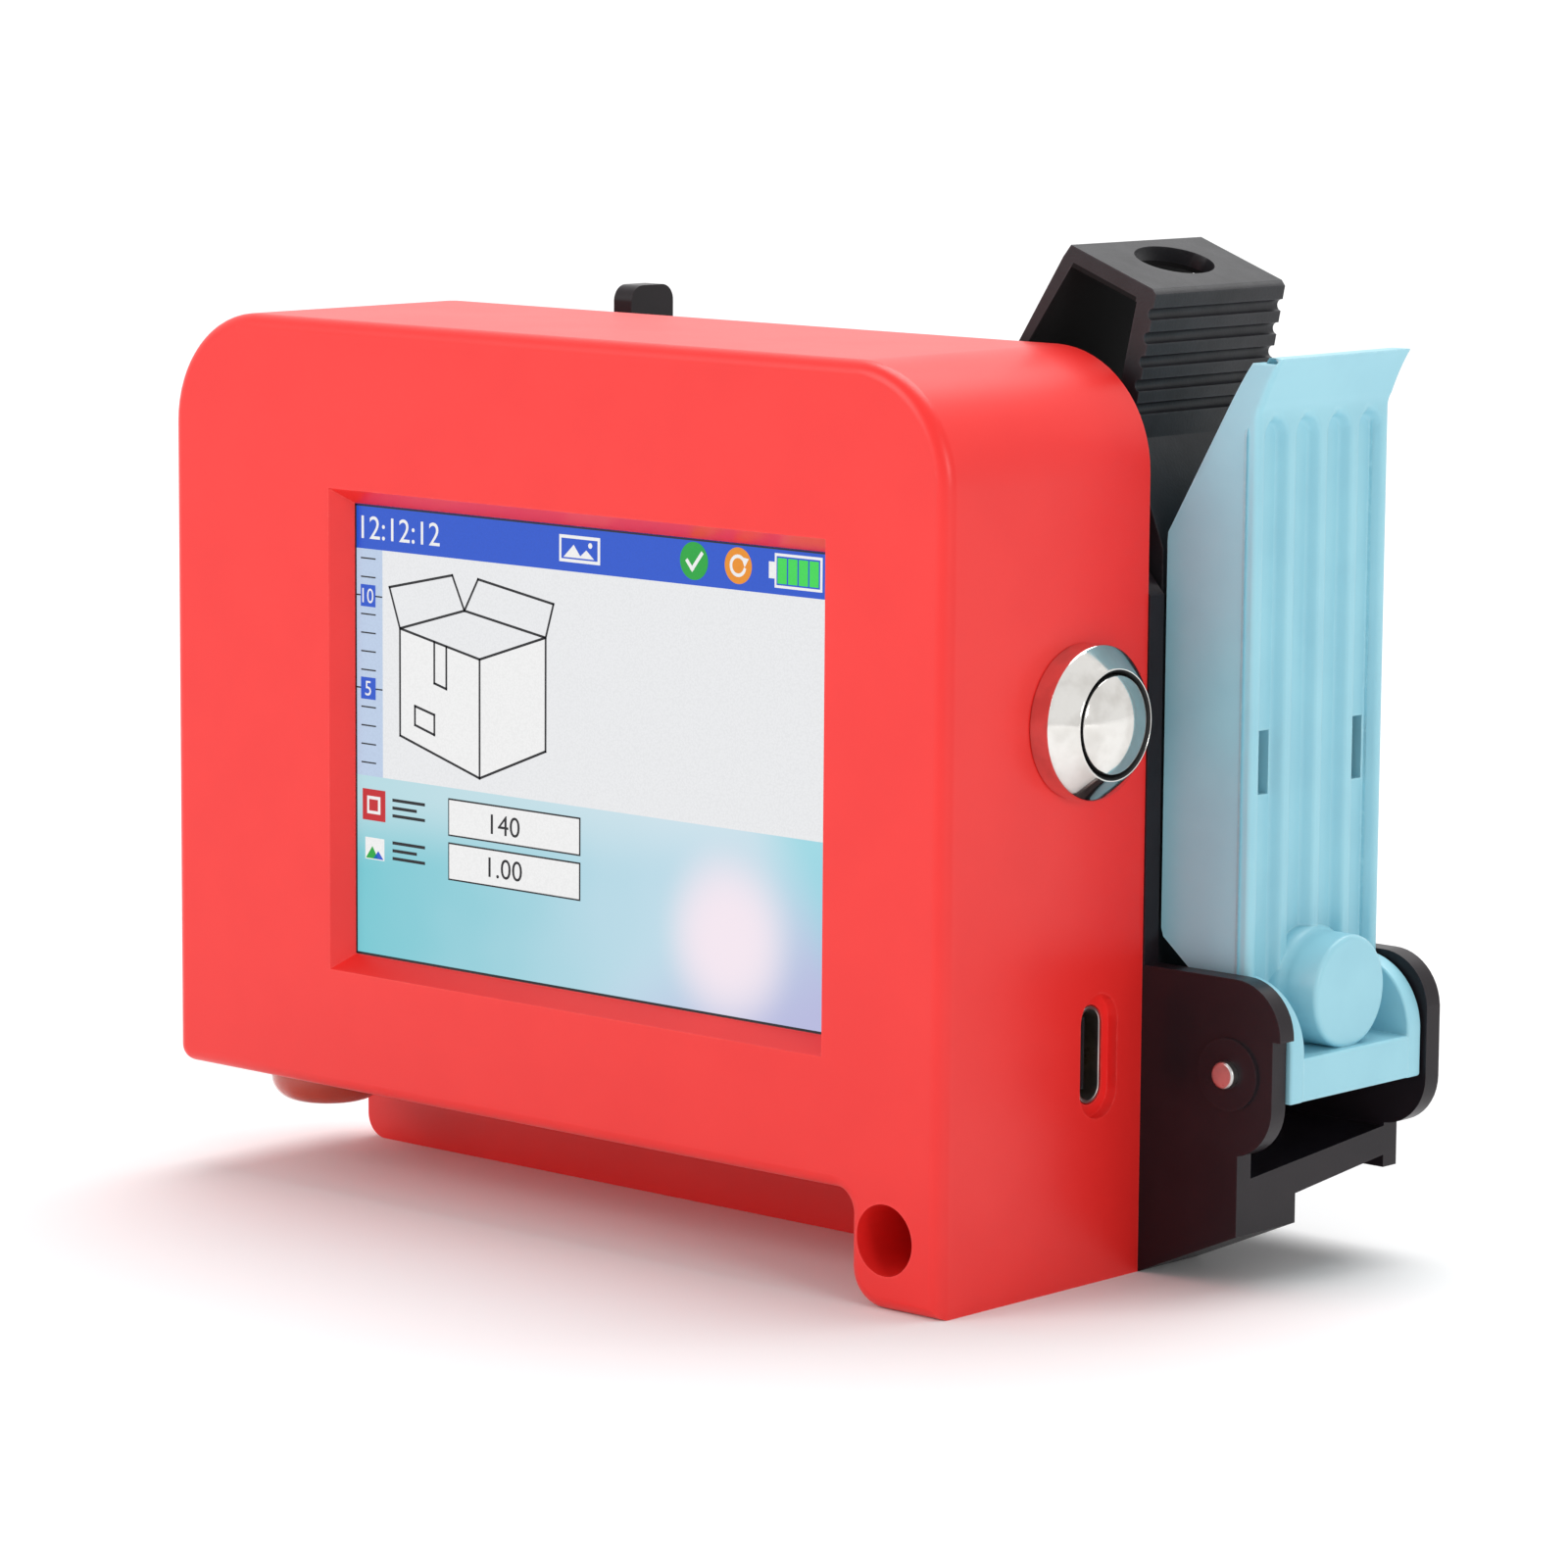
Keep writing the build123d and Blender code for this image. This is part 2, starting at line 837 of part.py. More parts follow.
def make_ribbon_cable():
    """A flat cable in the x and y plane, as wide as its socket in z."""
    points = [
        (ribbon_x + ribbon_grip - ribbon_thickness, board_ribbon_y),
        (ribbon_x, board_ribbon_y),
        (ribbon_x, contact_ribbon_y),
        (ribbon_x + ribbon_margin, contact_ribbon_y + ribbon_margin),
    ]
    middle = FilletPolyline(*points, radius=ribbon_bend)
    strip = trace(middle, line_width=ribbon_thickness)
    return along_z(strip, *ribbon_z)


# Trigger button

def turned(profile):
    """A profile of x and radius, turned about the button's axis."""
    face = Plane.XY * outline(*profile)
    solid = revolve(face, axis=Axis.X)
    return Pos(0, button_depth, button_height) * solid


def make_button_bezel():
    bore, counterbore = plunger_radius + plunger_fit, plunger_radius + collar_step + collar_fit
    profile = [
        (barrel_start, counterbore),
        (barrel_start, barrel_radius),
        (case_right, barrel_radius),
        (case_right, bezel_radius),
        (case_right + bezel_rim, bezel_radius),
        (bezel_top, plunger_radius + bezel_face_gap),
        (bezel_top, bore),
        (button_shoulder, bore),
        (button_shoulder, counterbore),
    ]
    return turned(profile)


def make_button_plunger():
    collar_start = button_shoulder - collar_length
    tail = button_shoulder - plunger_tail
    body = rod_x(button_depth, button_height, plunger_radius - 2 * collar_step, tail, collar_start)
    body += rod_x(button_depth, button_height, plunger_radius + collar_step, collar_start, button_shoulder)
    body += rod_x(button_depth, button_height, plunger_radius, button_shoulder, bezel_top)
    dome_radius = (plunger_radius**2 + plunger_dome**2) / (2 * plunger_dome)
    rim_angle = degrees(asin(1 - plunger_dome / dome_radius))
    dome = Rot(0, 90, 0) * Sphere(dome_radius, arc_size1=rim_angle, align=Align.NONE)
    centre = bezel_top + plunger_dome - dome_radius
    return body + Pos(centre, button_depth, button_height) * dome


def make_button_nut():
    start = washer_face - nut_thickness
    flats = Pos(button_depth, button_height) * RegularPolygon(
        barrel_radius + nut_lip, 6, major_radius=False, rotation=30
    )
    nut = along_x(flats, start, washer_face)
    return nut - rod_x(button_depth, button_height, barrel_radius + barrel_fit / 2, start, washer_face)


def make_button_washer():
    end = case_right - wall
    ring = rod_x(button_depth, button_height, bezel_radius - washer_inset, washer_face, end)
    return ring - rod_x(button_depth, button_height, barrel_radius + barrel_fit / 2, washer_face, end)


def make_button_contact_block():
    seat = barrel_start + spring_seat - spring_wire + 0.1
    body = rod_x(button_depth, button_height, barrel_radius - 0.5, block_end, barrel_start)
    return body + rod_x(button_depth, button_height, plunger_radius - spring_seat, barrel_start, seat)


def make_button_spring():
    start = barrel_start + spring_seat
    length = button_shoulder - collar_length - start - spring_wire * 7 / 3
    coil = Helix(pitch=length / spring_turns, height=length, radius=plunger_radius - 2 * spring_wire)
    section = Plane(origin=coil @ 0, z_dir=coil % 0) * Circle(spring_wire)
    spring = sweep(section, path=coil, is_frenet=True)
    return Pos(start + spring_room, button_depth, button_height) * (Rot(0, 90, 0) * spring)


def make_button_terminals():
    thick, wide = terminal_size
    pins = []
    for side in (-terminal_spread, terminal_spread):
        z = button_height + side
        pins.append(
            block(
                (terminal_end, block_end),
                (button_depth - thick / 2, button_depth + thick / 2),
                (z - wide / 2, z + wide / 2),
            )
        )
    return Compound(pins)


def make_button_lead():
    wires = []
    for side in (-terminal_spread, terminal_spread):
        z = button_height + side
        points = [
            (terminal_end, button_depth, z),
            (lead_end_x, button_depth, z),
            (lead_end_x, board_back + button_socket_height, z),
        ]
        wires.append(wire(points, button_lead_radius, lead_bend))
    return Compound(wires)


# Charging socket

def make_socket_shell():
    start, sheet = socket_end - socket_length, 2 * socket_sheet
    middle = Pos(socket_depth, socket_height)
    outside = middle * SlotOverall(socket_long, socket_short, rotation=90)
    inside = middle * SlotOverall(socket_long - sheet, socket_short - sheet, rotation=90)
    return along_x(outside, start, socket_end) - along_x(inside, start + sheet, socket_end)


def make_socket_tongue():
    return block(
        (socket_end - socket_length + 2 * socket_sheet, socket_end - tongue_setback),
        (socket_depth - tongue_thickness / 2, socket_depth + tongue_thickness / 2),
        (socket_height - tongue_width / 2, socket_height + tongue_width / 2),
    )


def make_socket_board():
    end = socket_seat + small_board
    board = block(
        (case_right - bridge_side[0], case_right - wall - 0.3),
        (socket_seat, end),
        (inner_bottom + 0.2, post_places[1] + bridge_margin - 0.3),
    )
    for z in post_places:
        board -= rod_y(post_x, z, pan_thread_radius + screw_fit, socket_seat, end)
    return board


def make_socket_carrier():
    """The two posts and the bridge that hold the socket's board off the bottom wall."""
    root = socket_seat - post_length
    carrier = block(
        (case_right - bridge_side[0], case_right - bridge_side[1]),
        (root - bridge_thickness, root),
        (inner_bottom, post_places[1] + bridge_margin),
    )
    for z in post_places:
        carrier += rod_y(post_x, z, post_radius, root, socket_seat)
        carrier -= rod_y(post_x, z, pan_thread_radius + screw_fit / 2, root, socket_seat)
    return carrier


def make_socket_screws():
    seat = socket_seat + small_board
    return Compound([pan_screw(post_x, z, seat, seat - retainer_hole_depth) for z in post_places])


# Product sensor

def make_sensor_lens():
    dome = rod_z(lens_x, lens_y, lens_radius, undercut_height - lens_height, undercut_height)
    dome = fillet(dome.edges().sort_by(Axis.Z)[0], lens_round)
    return dome + rod_z(lens_x, lens_y, lens_stem, undercut_height, sensor_base)


def make_sensor_board():
    wide, deep = sensor_board_size
    return block(
        (lens_x - wide / 2, lens_x + wide / 2),
        (lens_y - deep / 2, lens_y + deep / 2),
        (sensor_base, sensor_base + small_board),
    )


def make_sensor_chips():
    low = sensor_base + small_board
    chips = []
    for side in (-sensor_chip_spread, sensor_chip_spread):
        chips.append(rod_z(lens_x + side, lens_y, sensor_chip_radius, low, low + sensor_chip_height))
    return Compound(chips)


# Stall

def cheek_outline(low):
    """A side of the stall, up to the ear that carries the latch."""
    edge = case_right + cheek_reach
    points = [
        (stall_left, low),
        (case_right, low),
        (stall_right, max(low, rail_rise)),
        (stall_right, ear_bottom + 1),
        (edge, ear_top - 2),
        (edge, stall_top - cheek_shoulder),
        (case_right - cheek_slope, stall_top),
        (stall_left + shoulder_run[1], stall_top),
        (stall_left + shoulder_run[0], stall_shoulder),
        (stall_left, stall_shoulder),
    ]
    return outline(*points)


def ear_outline(step):
    """The ear, drawn in below its lobe by the step."""
    root, lower_right = case_right - ear_root, ear_right - step
    lobe = rounded_outline(
        [(root, ear_step_height), (ear_right, ear_step_height), (ear_right, ear_top), (root, ear_top)],
        [0, 0, ear_corner - ear_round, 0],
    )
    low_top = ear_step_height + ear_round
    lower = rounded_outline(
        [(root, ear_bottom), (lower_right, ear_bottom), (lower_right, low_top), (root, low_top)],
        [0, ear_low_corner, 0, 0],
    )
    return lobe + lower


def make_stall_body():
    stall = along_y(cheek_outline(0) + ear_outline(ear_step), case_depth, pocket_front)
    stall += along_y(cheek_outline(floor_bottom) + ear_outline(0), pocket_back, stall_back)
    stall += block(
        (stall_left, stall_left + end_wall),
        (case_depth, stall_back),
        (floor_bottom, stall_shoulder),
    )
    stall += block(
        (stall_left, case_right + floor_reach),
        (case_depth, stall_back),
        (floor_bottom, floor_top),
    )
    apron = outline(
        (case_depth, floor_bottom - apron_front),
        (stall_back, floor_bottom + apron_front),
        (stall_back, floor_top + apron_rise - apron_lip),
        (case_depth, floor_top - apron_lip),
    )
    stall += along_x(apron, case_right + apron_start, stall_right)
    snout_end = snout_right + snout_gap
    rail = outline(
        (snout_end, 0),
        (case_right, 0),
        (stall_right, rail_rise),
        (stall_right, floor_bottom),
        (snout_end, floor_bottom),
    )
    stall += along_y(rail, case_depth, case_depth + rail_width)
    opening = snout_width / 2 + snout_gap
    stall -= block(
        (stall_left + end_wall, snout_end),
        (pocket_middle - opening, pocket_middle + opening),
        (0, floor_top),
    )
    stall += rod_y(pin_x, pin_z, pin_boss, case_depth - pin_boss_height, case_depth)
    stall += rod_y(pin_x, pin_z, pin_boss, stall_back, stall_back + pin_boss_height)
    stall -= rod_y(pin_x, pin_z, pin_radius + pin_seat, pin_start, pin_end)
    window_y = contact_columns * contact_pitch + contact_window_margin
    window_z = contact_rows * contact_pitch + contact_window_margin
    stall -= block(
        (stall_left, stall_left + end_wall),
        (pocket_middle - window_y / 2, pocket_middle + window_y / 2),
        (contact_height - window_z / 2, contact_height + window_z / 2),
    )
    for x, z in stall_screw_places:
        stall -= countersink(x, z, pocket_front, case_depth)
    for y, z in contact_screw_places:
        stall -= rod_x(y, z, pan_thread_radius + screw_fit / 2, stall_left, stall_left + end_wall)
    return stall


def make_stall_screws():
    tip = pocket_front - stall_screw_length
    return Compound([countersunk(x, z, pocket_front, tip) for x, z in stall_screw_places])


def make_contact_board():
    gap = contact_board_gap
    board = block(
        (contact_face, stall_left),
        (pocket_front + gap, pocket_back - gap),
        (contact_height - contact_board_low, connector_z[1] + contact_board_margin),
    )
    return fillet(board.edges().filter_by(Axis.X), board_corner)


def make_contact_pins():
    tip = cartridge_left - flex_thickness - contact_gap
    half = contact_size / 2
    pins = []
    for column in range(contact_columns):
        y = pocket_middle + (column - (contact_columns - 1) / 2) * contact_pitch
        for row in range(contact_rows):
            z = contact_height + (row - (contact_rows - 1) / 2) * contact_pitch
            pins.append(block((stall_left, tip), (y - half, y + half), (z - half, z + half)))
    return Compound(pins)


def make_contact_cover():
    """The lid over the contact board, with a pull tab on its top."""
    cover = block((cover_left, stall_left), (case_depth, stall_back), (floor_bottom, cover_top))
    cover = fillet(cover.edges().filter_by(Axis.Y).sort_by(Axis.X)[0:2], cover_corner)
    cover -= block(
        (cover_left + cover_wall, stall_left),
        (case_depth + cover_wall, stall_back - cover_wall),
        (floor_bottom + cover_wall, cover_top - cover_wall),
    )
    tab_right = stall_left - tab_setback
    tab = block(
        (tab_right - tab_thickness, tab_right),
        (pocket_middle - tab_width / 2, pocket_middle + tab_width / 2),
        (cover_top - cover_wall / 2, tab_top),
    )
    cover += fillet(tab.edges().filter_by(Axis.X).sort_by(Axis.Z)[2:4], tab_corner)
    for y, z in contact_screw_places:
        cover += rod_x(y, z, contact_boss_radius, cover_left, stall_left)
        cover -= rod_x(y, z, pan_thread_radius + screw_fit, cover_left, stall_left)
        cover -= rod_x(y, z, pan_head_radius + screw_fit, cover_left, cover_left + screw_head_height)
    slot_x = (ribbon_x - ribbon_margin, ribbon_x + ribbon_margin)
    return cover - block(slot_x, (case_depth, case_depth + cover_wall), ribbon_slot)


def make_contact_cover_screws():
    neck = cover_left + screw_head_height
    screws = []
    for y, z in contact_screw_places:
        head = rod_x(y, z, pan_head_radius, cover_left, neck)
        shank = rod_x(y, z, pan_thread_radius, neck, stall_left + end_wall - screw_fit)
        screws.append(head + shank - rod_x(y, z, driver_radius, cover_left, cover_left + driver_depth))
    return Compound(screws)


def make_contact_socket():
    """The ribbon's socket on the contact board."""
    start = contact_ribbon_y + ribbon_margin + ribbon_thickness / 2
    side = (start, start + small_socket_width)
    return block((contact_face - ribbon_socket_height, contact_face), side, connector_z)


def make_latch_pin():
    pin = rod_y(pin_x, pin_z, pin_radius, pin_start, pin_end)
    return fillet(pin.faces().filter_by(Axis.Y).edges(), pin_round)


# Latch

def latch_side_outline():
    points = [
        (knuckle_left, flange_bottom),
        (latch_face, flange_bottom),
        (latch_face, lip_bottom),
        (latch_face + lip_flare, latch_top),
        (latch_face, latch_top),
        (latch_face - lip_round[0], latch_top - lip_round[1]),
        (latch_left + shoulder_lean, latch_shoulder),
        (latch_left, latch_foot),
        (knuckle_left, latch_foot - foot_slope),
    ]
    return outline(*points)


def latch_web_outline():
    return outline(
        (latch_inside, flange_bottom),
        (latch_face - rib_depth, flange_bottom),
        (latch_face - rib_depth, rib_top),
        (latch_face, rib_top + rib_ramp),
        (latch_face, lip_bottom),
        (latch_face + lip_flare, latch_top),
        (latch_face + lip_flare - lip_thickness, latch_top),
        (latch_inside, lip_bottom + lip_round[1]),
    )


def toe_outline(top):
    return outline(
        (knuckle_left, flange_bottom),
        (flange_right, flange_bottom),
        (flange_right, top),
        (knuckle_left, top),
    )


def gusset_outline():
    """The quarter round plate at each side of the heel."""
    arc_x = flange_right - flange_arc
    arc = Pos(arc_x, flange_middle) * Circle(flange_arc)
    keep = Pos(arc_x + flange_arc / 2, flange_middle + flange_arc / 2) * Rectangle(flange_arc, flange_arc)
    return (arc & keep) + toe_outline(flange_middle)


def make_latch():
    sides = [(latch_front, latch_front + latch_wall), (latch_back - latch_wall, latch_back)]
    latch = along_y(latch_web_outline(), latch_front, latch_back)
    latch += along_y(toe_outline(flange_bottom + toe_height), latch_front, latch_back)
    for start, end in sides:
        latch += along_y(latch_side_outline(), start, end)
    latch += along_y(gusset_outline(), latch_front, latch_front + gusset_wall)
    latch += along_y(gusset_outline(), latch_back - gusset_wall, latch_back)
    pitch = (latch_back - latch_front - border_width) / (rib_count + 1)
    for rib in range(rib_count + 2):
        y = latch_front + border_width / 2 + pitch * rib
        half = (border_width if rib in (0, rib_count + 1) else rib_width) / 2
        latch += block(
            (latch_inside, latch_face), (y - half, y + half), (flange_middle, rib_top + rib_ramp)
        )
    for channel in (0, rib_count):
        y = latch_front + border_width / 2 + pitch * (channel + 0.5)
        latch -= block(
            (latch_left, latch_face),
            (y - slot_width / 2, y + slot_width / 2),
            (slot_bottom, slot_bottom + slot_height),
        )
    cap = rod_x(pocket_middle, cap_height, cap_radius, latch_inside, cap_right)
    latch += fillet(cap.edges().sort_by(Axis.X)[-1], cap_round)
    latch += rod_x(pocket_middle, cap_height, sleeve_radius, latch_inside - sleeve_length, latch_inside)
    bore_start = latch_inside - sleeve_length
    latch -= rod_x(pocket_middle, cap_height, pad_stem + pad_fit, bore_start, cap_right - cap_wall)
    return latch - rod_y(pin_x, pin_z, pin_radius + pin_fit, latch_front, latch_back)


def make_pressure_pad():
    face = cartridge_right + pad_gap
    foot = rod_x(pocket_middle, cap_height, pad_radius, face, face + pad_thickness)
    foot = fillet(foot.edges().sort_by(Axis.X)[0], pad_round)
    return foot + rod_x(pocket_middle, cap_height, pad_stem, face + pad_thickness, pad_end)


def make_pad_spring():
    length = cap_right - cap_wall - pad_end - 2 * (pad_spring_wire + pad_spring_end)
    coil = Helix(pitch=length / pad_spring_turns, height=length, radius=pad_stem - pad_spring_inset)
    section = Plane(origin=coil @ 0, z_dir=coil % 0) * Circle(pad_spring_wire)
    spring = sweep(section, path=coil, is_frenet=True)
    start = pad_end + pad_spring_wire + pad_spring_end
    return Pos(start, pocket_middle, cap_height) * (Rot(0, 90, 0) * spring)


# Cartridge

def cartridge_outline(inset):
    points = [
        (cartridge_left + inset, floor_top + inset),
        (cartridge_right - inset, floor_top + inset),
        (cartridge_right - inset, cartridge_shoulder - inset),
        (grip_root_x - inset, cartridge_top - inset),
        (cartridge_left + inset, cartridge_top - inset),
    ]
    return outline(*points)


def grip_solid():
    """The arched grip with its ribbed face, finger hollow and oval hole."""
    peak_run, peak_drop = grip_peak_round
    end_run, end_drop = grip_end_round
    outer = outline(
        (grip_foot, cartridge_top - grip_floor),
        (grip_peak_x - peak_run, grip_peak_z - peak_drop),
        (grip_peak_x, grip_peak_z),
        (grip_end_x - end_run, grip_end_z + end_drop / 2),
        (grip_end_x, grip_end_z - end_drop),
        (grip_root_x, cartridge_top - grip_floor),
    )
    slope = (grip_peak_z - cartridge_top) / (grip_peak_x - grip_foot)
    hollow_left, hollow_low = grip_foot + grip_slope_wall, cartridge_top + grip_floor
    top_wall, peak_wall, end_wall_top = grip_top_wall
    hollow = outline(
        (hollow_left, hollow_low),
        (hollow_left + (grip_peak_z - peak_wall - cartridge_top) / slope, grip_peak_z - top_wall),
        (grip_end_x - grip_front_wall, grip_end_z - end_wall_top),
        (grip_root_x - grip_root_wall, hollow_low),
    )
    grip = along_y(outer, cartridge_front, cartridge_back) - along_y(hollow, cartridge_front, cartridge_back)
    lean = (grip_end_x - grip_root_x) / (grip_end_z - cartridge_top)
    for rib in range(grip_ribs):
        drop = grip_rib_pitch * (rib + 1)
        x = grip_end_x - lean * drop + grip_groove_out
        grip -= rod_y(x, grip_end_z - drop, grip_groove, cartridge_front, cartridge_back)
    hole = along_z(Ellipse(grip_hole_width / 2, grip_hole_length / 2), -grip_hole_width, grip_hole_width)
    hole_x = cartridge_right - grip_hole_setback
    hole_z = grip_peak_z - (hole_x - grip_peak_x) * (grip_peak_z - grip_end_z) / (grip_end_x - grip_peak_x)
    return grip - Pos(hole_x, pocket_middle + grip_hole_shift, hole_z) * (Rot(0, grip_tilt, 0) * hole)


def make_cartridge_body():
    body = along_y(cartridge_outline(0), cartridge_front, lid_front)
    body -= along_y(cartridge_outline(cartridge_wall), cartridge_front + cartridge_wall, lid_front)
    snout = block(
        (cartridge_left, snout_right),
        (pocket_middle - snout_width / 2, pocket_middle + snout_width / 2),
        (snout_bottom, floor_top),
    )
    body += chamfer(snout.faces().sort_by(Axis.Z)[0].edges().sort_by(Axis.X)[-1], snout_chamfer)
    body += grip_solid()
    body -= block((cartridge_left, case_right), (lid_front, cartridge_back), (floor_top, cartridge_top))
    well = (snout_bottom + outlet_depth, floor_top + cartridge_wall)
    body -= rod_z(snout_middle, pocket_middle, outlet_radius, *well)
    return body - rod_z(filler_x, pocket_middle, filler_radius, floor_top, floor_top + cartridge_wall)


def make_cartridge_lid():
    return along_y(cartridge_outline(lid_inset), lid_front, cartridge_back)


def make_ink_bag():
    inset = cartridge_wall + bag_gap
    bag = along_y(cartridge_outline(inset), cartridge_front + inset, lid_front - bag_gap)
    return fillet(bag.edges().filter_by(Axis.Y), bag_corner)


def make_ink_filter():
    low = snout_bottom + outlet_depth
    return rod_z(snout_middle, pocket_middle, outlet_radius - filter_fit, low, low + filter_thickness)


def make_filler_plug():
    top = floor_top + cartridge_wall
    return rod_z(filler_x, pocket_middle, filler_radius - filler_fit, floor_top + filler_rise, top)


def make_contact_flex():
    side = (pocket_middle - flex_width / 2, pocket_middle + flex_width / 2)
    left, low = cartridge_left - flex_thickness, snout_bottom - flex_thickness
    upright = block((left, cartridge_left), side, (snout_bottom, flex_top))
    return upright + block((left, snout_right - flex_setback), side, (low, snout_bottom))


def make_nozzle_plate():
    top = snout_bottom - flex_thickness
    return block(
        (snout_middle - nozzle_length / 2, snout_middle + nozzle_length / 2),
        (pocket_middle - nozzle_width / 2, pocket_middle + nozzle_width / 2),
        (top - nozzle_thickness, top),
    )


pieces = {
    "front_shell": make_front_shell,
    "rear_cover": make_rear_cover,
    "cover_screws": make_cover_screws,
    "touch_panel": make_touch_panel,
    "lcd_panel": make_lcd_panel,
    "lcd_frame": make_lcd_frame,
    "screen_retainer": make_screen_retainer,
    "retainer_screws": make_retainer_screws,
    "main_board": make_main_board,
    "board_screws": make_board_screws,
    "processor_shield": make_processor_shield,
    "board_chips": make_board_chips,
    "board_connectors": make_board_connectors,
    "buzzer": make_buzzer,
    "battery_pack": make_battery_pack,
    "battery_pad": make_battery_pad,
    "battery_lead": make_battery_lead,
    "ribbon_cable": make_ribbon_cable,
    "button_bezel": make_button_bezel,
    "button_plunger": make_button_plunger,
    "button_nut": make_button_nut,
    "button_washer": make_button_washer,
    "button_contact_block": make_button_contact_block,
    "button_spring": make_button_spring,
    "button_terminals": make_button_terminals,
    "button_lead": make_button_lead,
    "socket_shell": make_socket_shell,
    "socket_tongue": make_socket_tongue,
    "socket_board": make_socket_board,
    "socket_carrier": make_socket_carrier,
    "socket_screws": make_socket_screws,
    "sensor_lens": make_sensor_lens,
    "sensor_board": make_sensor_board,
    "sensor_chips": make_sensor_chips,
    "stall_body": make_stall_body,
    "stall_screws": make_stall_screws,
    "contact_board": make_contact_board,
    "contact_pins": make_contact_pins,
    "contact_socket": make_contact_socket,
    "contact_cover": make_contact_cover,
    "contact_cover_screws": make_contact_cover_screws,
    "latch_pin": make_latch_pin,
    "latch": make_latch,
    "pressure_pad": make_pressure_pad,
    "pad_spring": make_pad_spring,
    "cartridge_body": make_cartridge_body,
    "cartridge_lid": make_cartridge_lid,
    "ink_bag": make_ink_bag,
    "ink_filter": make_ink_filter,
    "filler_plug": make_filler_plug,
    "contact_flex": make_contact_flex,
    "nozzle_plate": make_nozzle_plate,
}

to_footprint_middle = Pos(-ear_right / 2, -pin_end / 2, 0)
os.makedirs("parts", exist_ok=True)
for name, make in pieces.items():
    export_step(to_footprint_middle * make(), f"parts/{name}.step")
print(len(pieces), "pieces, shifted by", -ear_right / 2, -pin_end / 2)
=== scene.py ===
import bpy
import bmesh
from math import cos, pi, radians, sin, sqrt
from mathutils import Matrix, Vector


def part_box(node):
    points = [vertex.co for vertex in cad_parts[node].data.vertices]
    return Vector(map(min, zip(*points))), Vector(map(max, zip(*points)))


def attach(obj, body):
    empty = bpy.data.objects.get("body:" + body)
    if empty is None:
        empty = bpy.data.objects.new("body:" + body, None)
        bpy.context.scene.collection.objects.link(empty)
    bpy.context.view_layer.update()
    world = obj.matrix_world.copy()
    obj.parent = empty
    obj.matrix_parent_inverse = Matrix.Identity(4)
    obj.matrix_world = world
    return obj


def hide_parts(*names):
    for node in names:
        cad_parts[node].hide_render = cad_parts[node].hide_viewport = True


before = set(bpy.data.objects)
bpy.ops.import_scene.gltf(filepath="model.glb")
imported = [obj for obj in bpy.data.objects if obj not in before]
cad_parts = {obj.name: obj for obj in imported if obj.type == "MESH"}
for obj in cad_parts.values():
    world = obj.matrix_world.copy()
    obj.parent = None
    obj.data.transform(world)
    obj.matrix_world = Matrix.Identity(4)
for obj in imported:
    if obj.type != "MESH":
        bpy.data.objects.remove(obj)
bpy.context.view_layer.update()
print("frame loaded with", len(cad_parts), "parts")

scene = bpy.context.scene
mm = 0.001
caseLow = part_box("front_shell")[0]


def at(x, y, z):
    # millimetres from the case's left side, its front face and the floor
    return Vector((caseLow.x + x * mm, caseLow.y + y * mm, caseLow.z + z * mm))


def boxOf(node):
    # its lowest and highest corner, in millimetres as at() takes them
    return [(corner - caseLow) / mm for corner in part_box(node)]


def srgb(red, green, blue):
    def linear(value):
        value /= 255
        return value / 12.92 if value <= 0.04045 else ((value + 0.055) / 1.055) ** 2.4
    return (linear(red), linear(green), linear(blue), 1)


def linked(thing):
    scene.collection.objects.link(thing)
    return thing


# camera
cameraSettings = {
    "lens": 139.05,
    "place": (0.378847, -0.421214, 0.124584),
    "turn": 42.05,
    "above": 8.42,
    "roll": 0.42,
}


def makeCamera(settings):
    turn, above, roll = (radians(settings[key]) for key in ("turn", "above", "roll"))
    back = Vector((sin(turn) * cos(above), -cos(turn) * cos(above), sin(above)))
    level = Vector((cos(turn), sin(turn), 0))
    upright = back.cross(level)
    right = cos(roll) * level + sin(roll) * upright
    up = back.cross(right)
    lens = bpy.data.cameras.new("camera")
    lens.lens = settings["lens"]
    lens.clip_start = 0.01
    camera = linked(bpy.data.objects.new("camera", lens))
    turned = Matrix((right, up, back)).transposed().to_4x4()
    camera.matrix_world = Matrix.Translation(settings["place"]) @ turned
    scene.camera = camera


makeCamera(cameraSettings)
print("camera set")


# shader sockets that can be added, multiplied and mixed like numbers
class Signal:
    def __init__(self, look, socket):
        self.look = look
        self.socket = socket

    def maths(self, operation, first, second=0.0):
        return self.look.node("ShaderNodeMath", {"operation": operation}, {0: first, 1: second})

    def __add__(self, other):
        return self.maths("ADD", self, other)

    __radd__ = __add__

    def __mul__(self, other):
        return self.maths("MULTIPLY", self, other)

    __rmul__ = __mul__

    def __sub__(self, other):
        return self.maths("SUBTRACT", self, other)

    def __rsub__(self, other):
        return self.maths("SUBTRACT", other, self)

    def __truediv__(self, other):
        return self.maths("DIVIDE", self, other)

    def __pow__(self, other):
        return self.maths("POWER", self, other)

    def larger(self, other):
        return self.maths("MAXIMUM", self, other)

    def repeat(self, step):
        return self.maths("PINGPONG", self, step)

    def rise(self, low, high):
        # 0 below low, 1 above high, smooth between
        settings = {"interpolation_type": "SMOOTHSTEP"}
        return self.look.node("ShaderNodeMapRange", settings, {0: self, 1: low, 2: high})


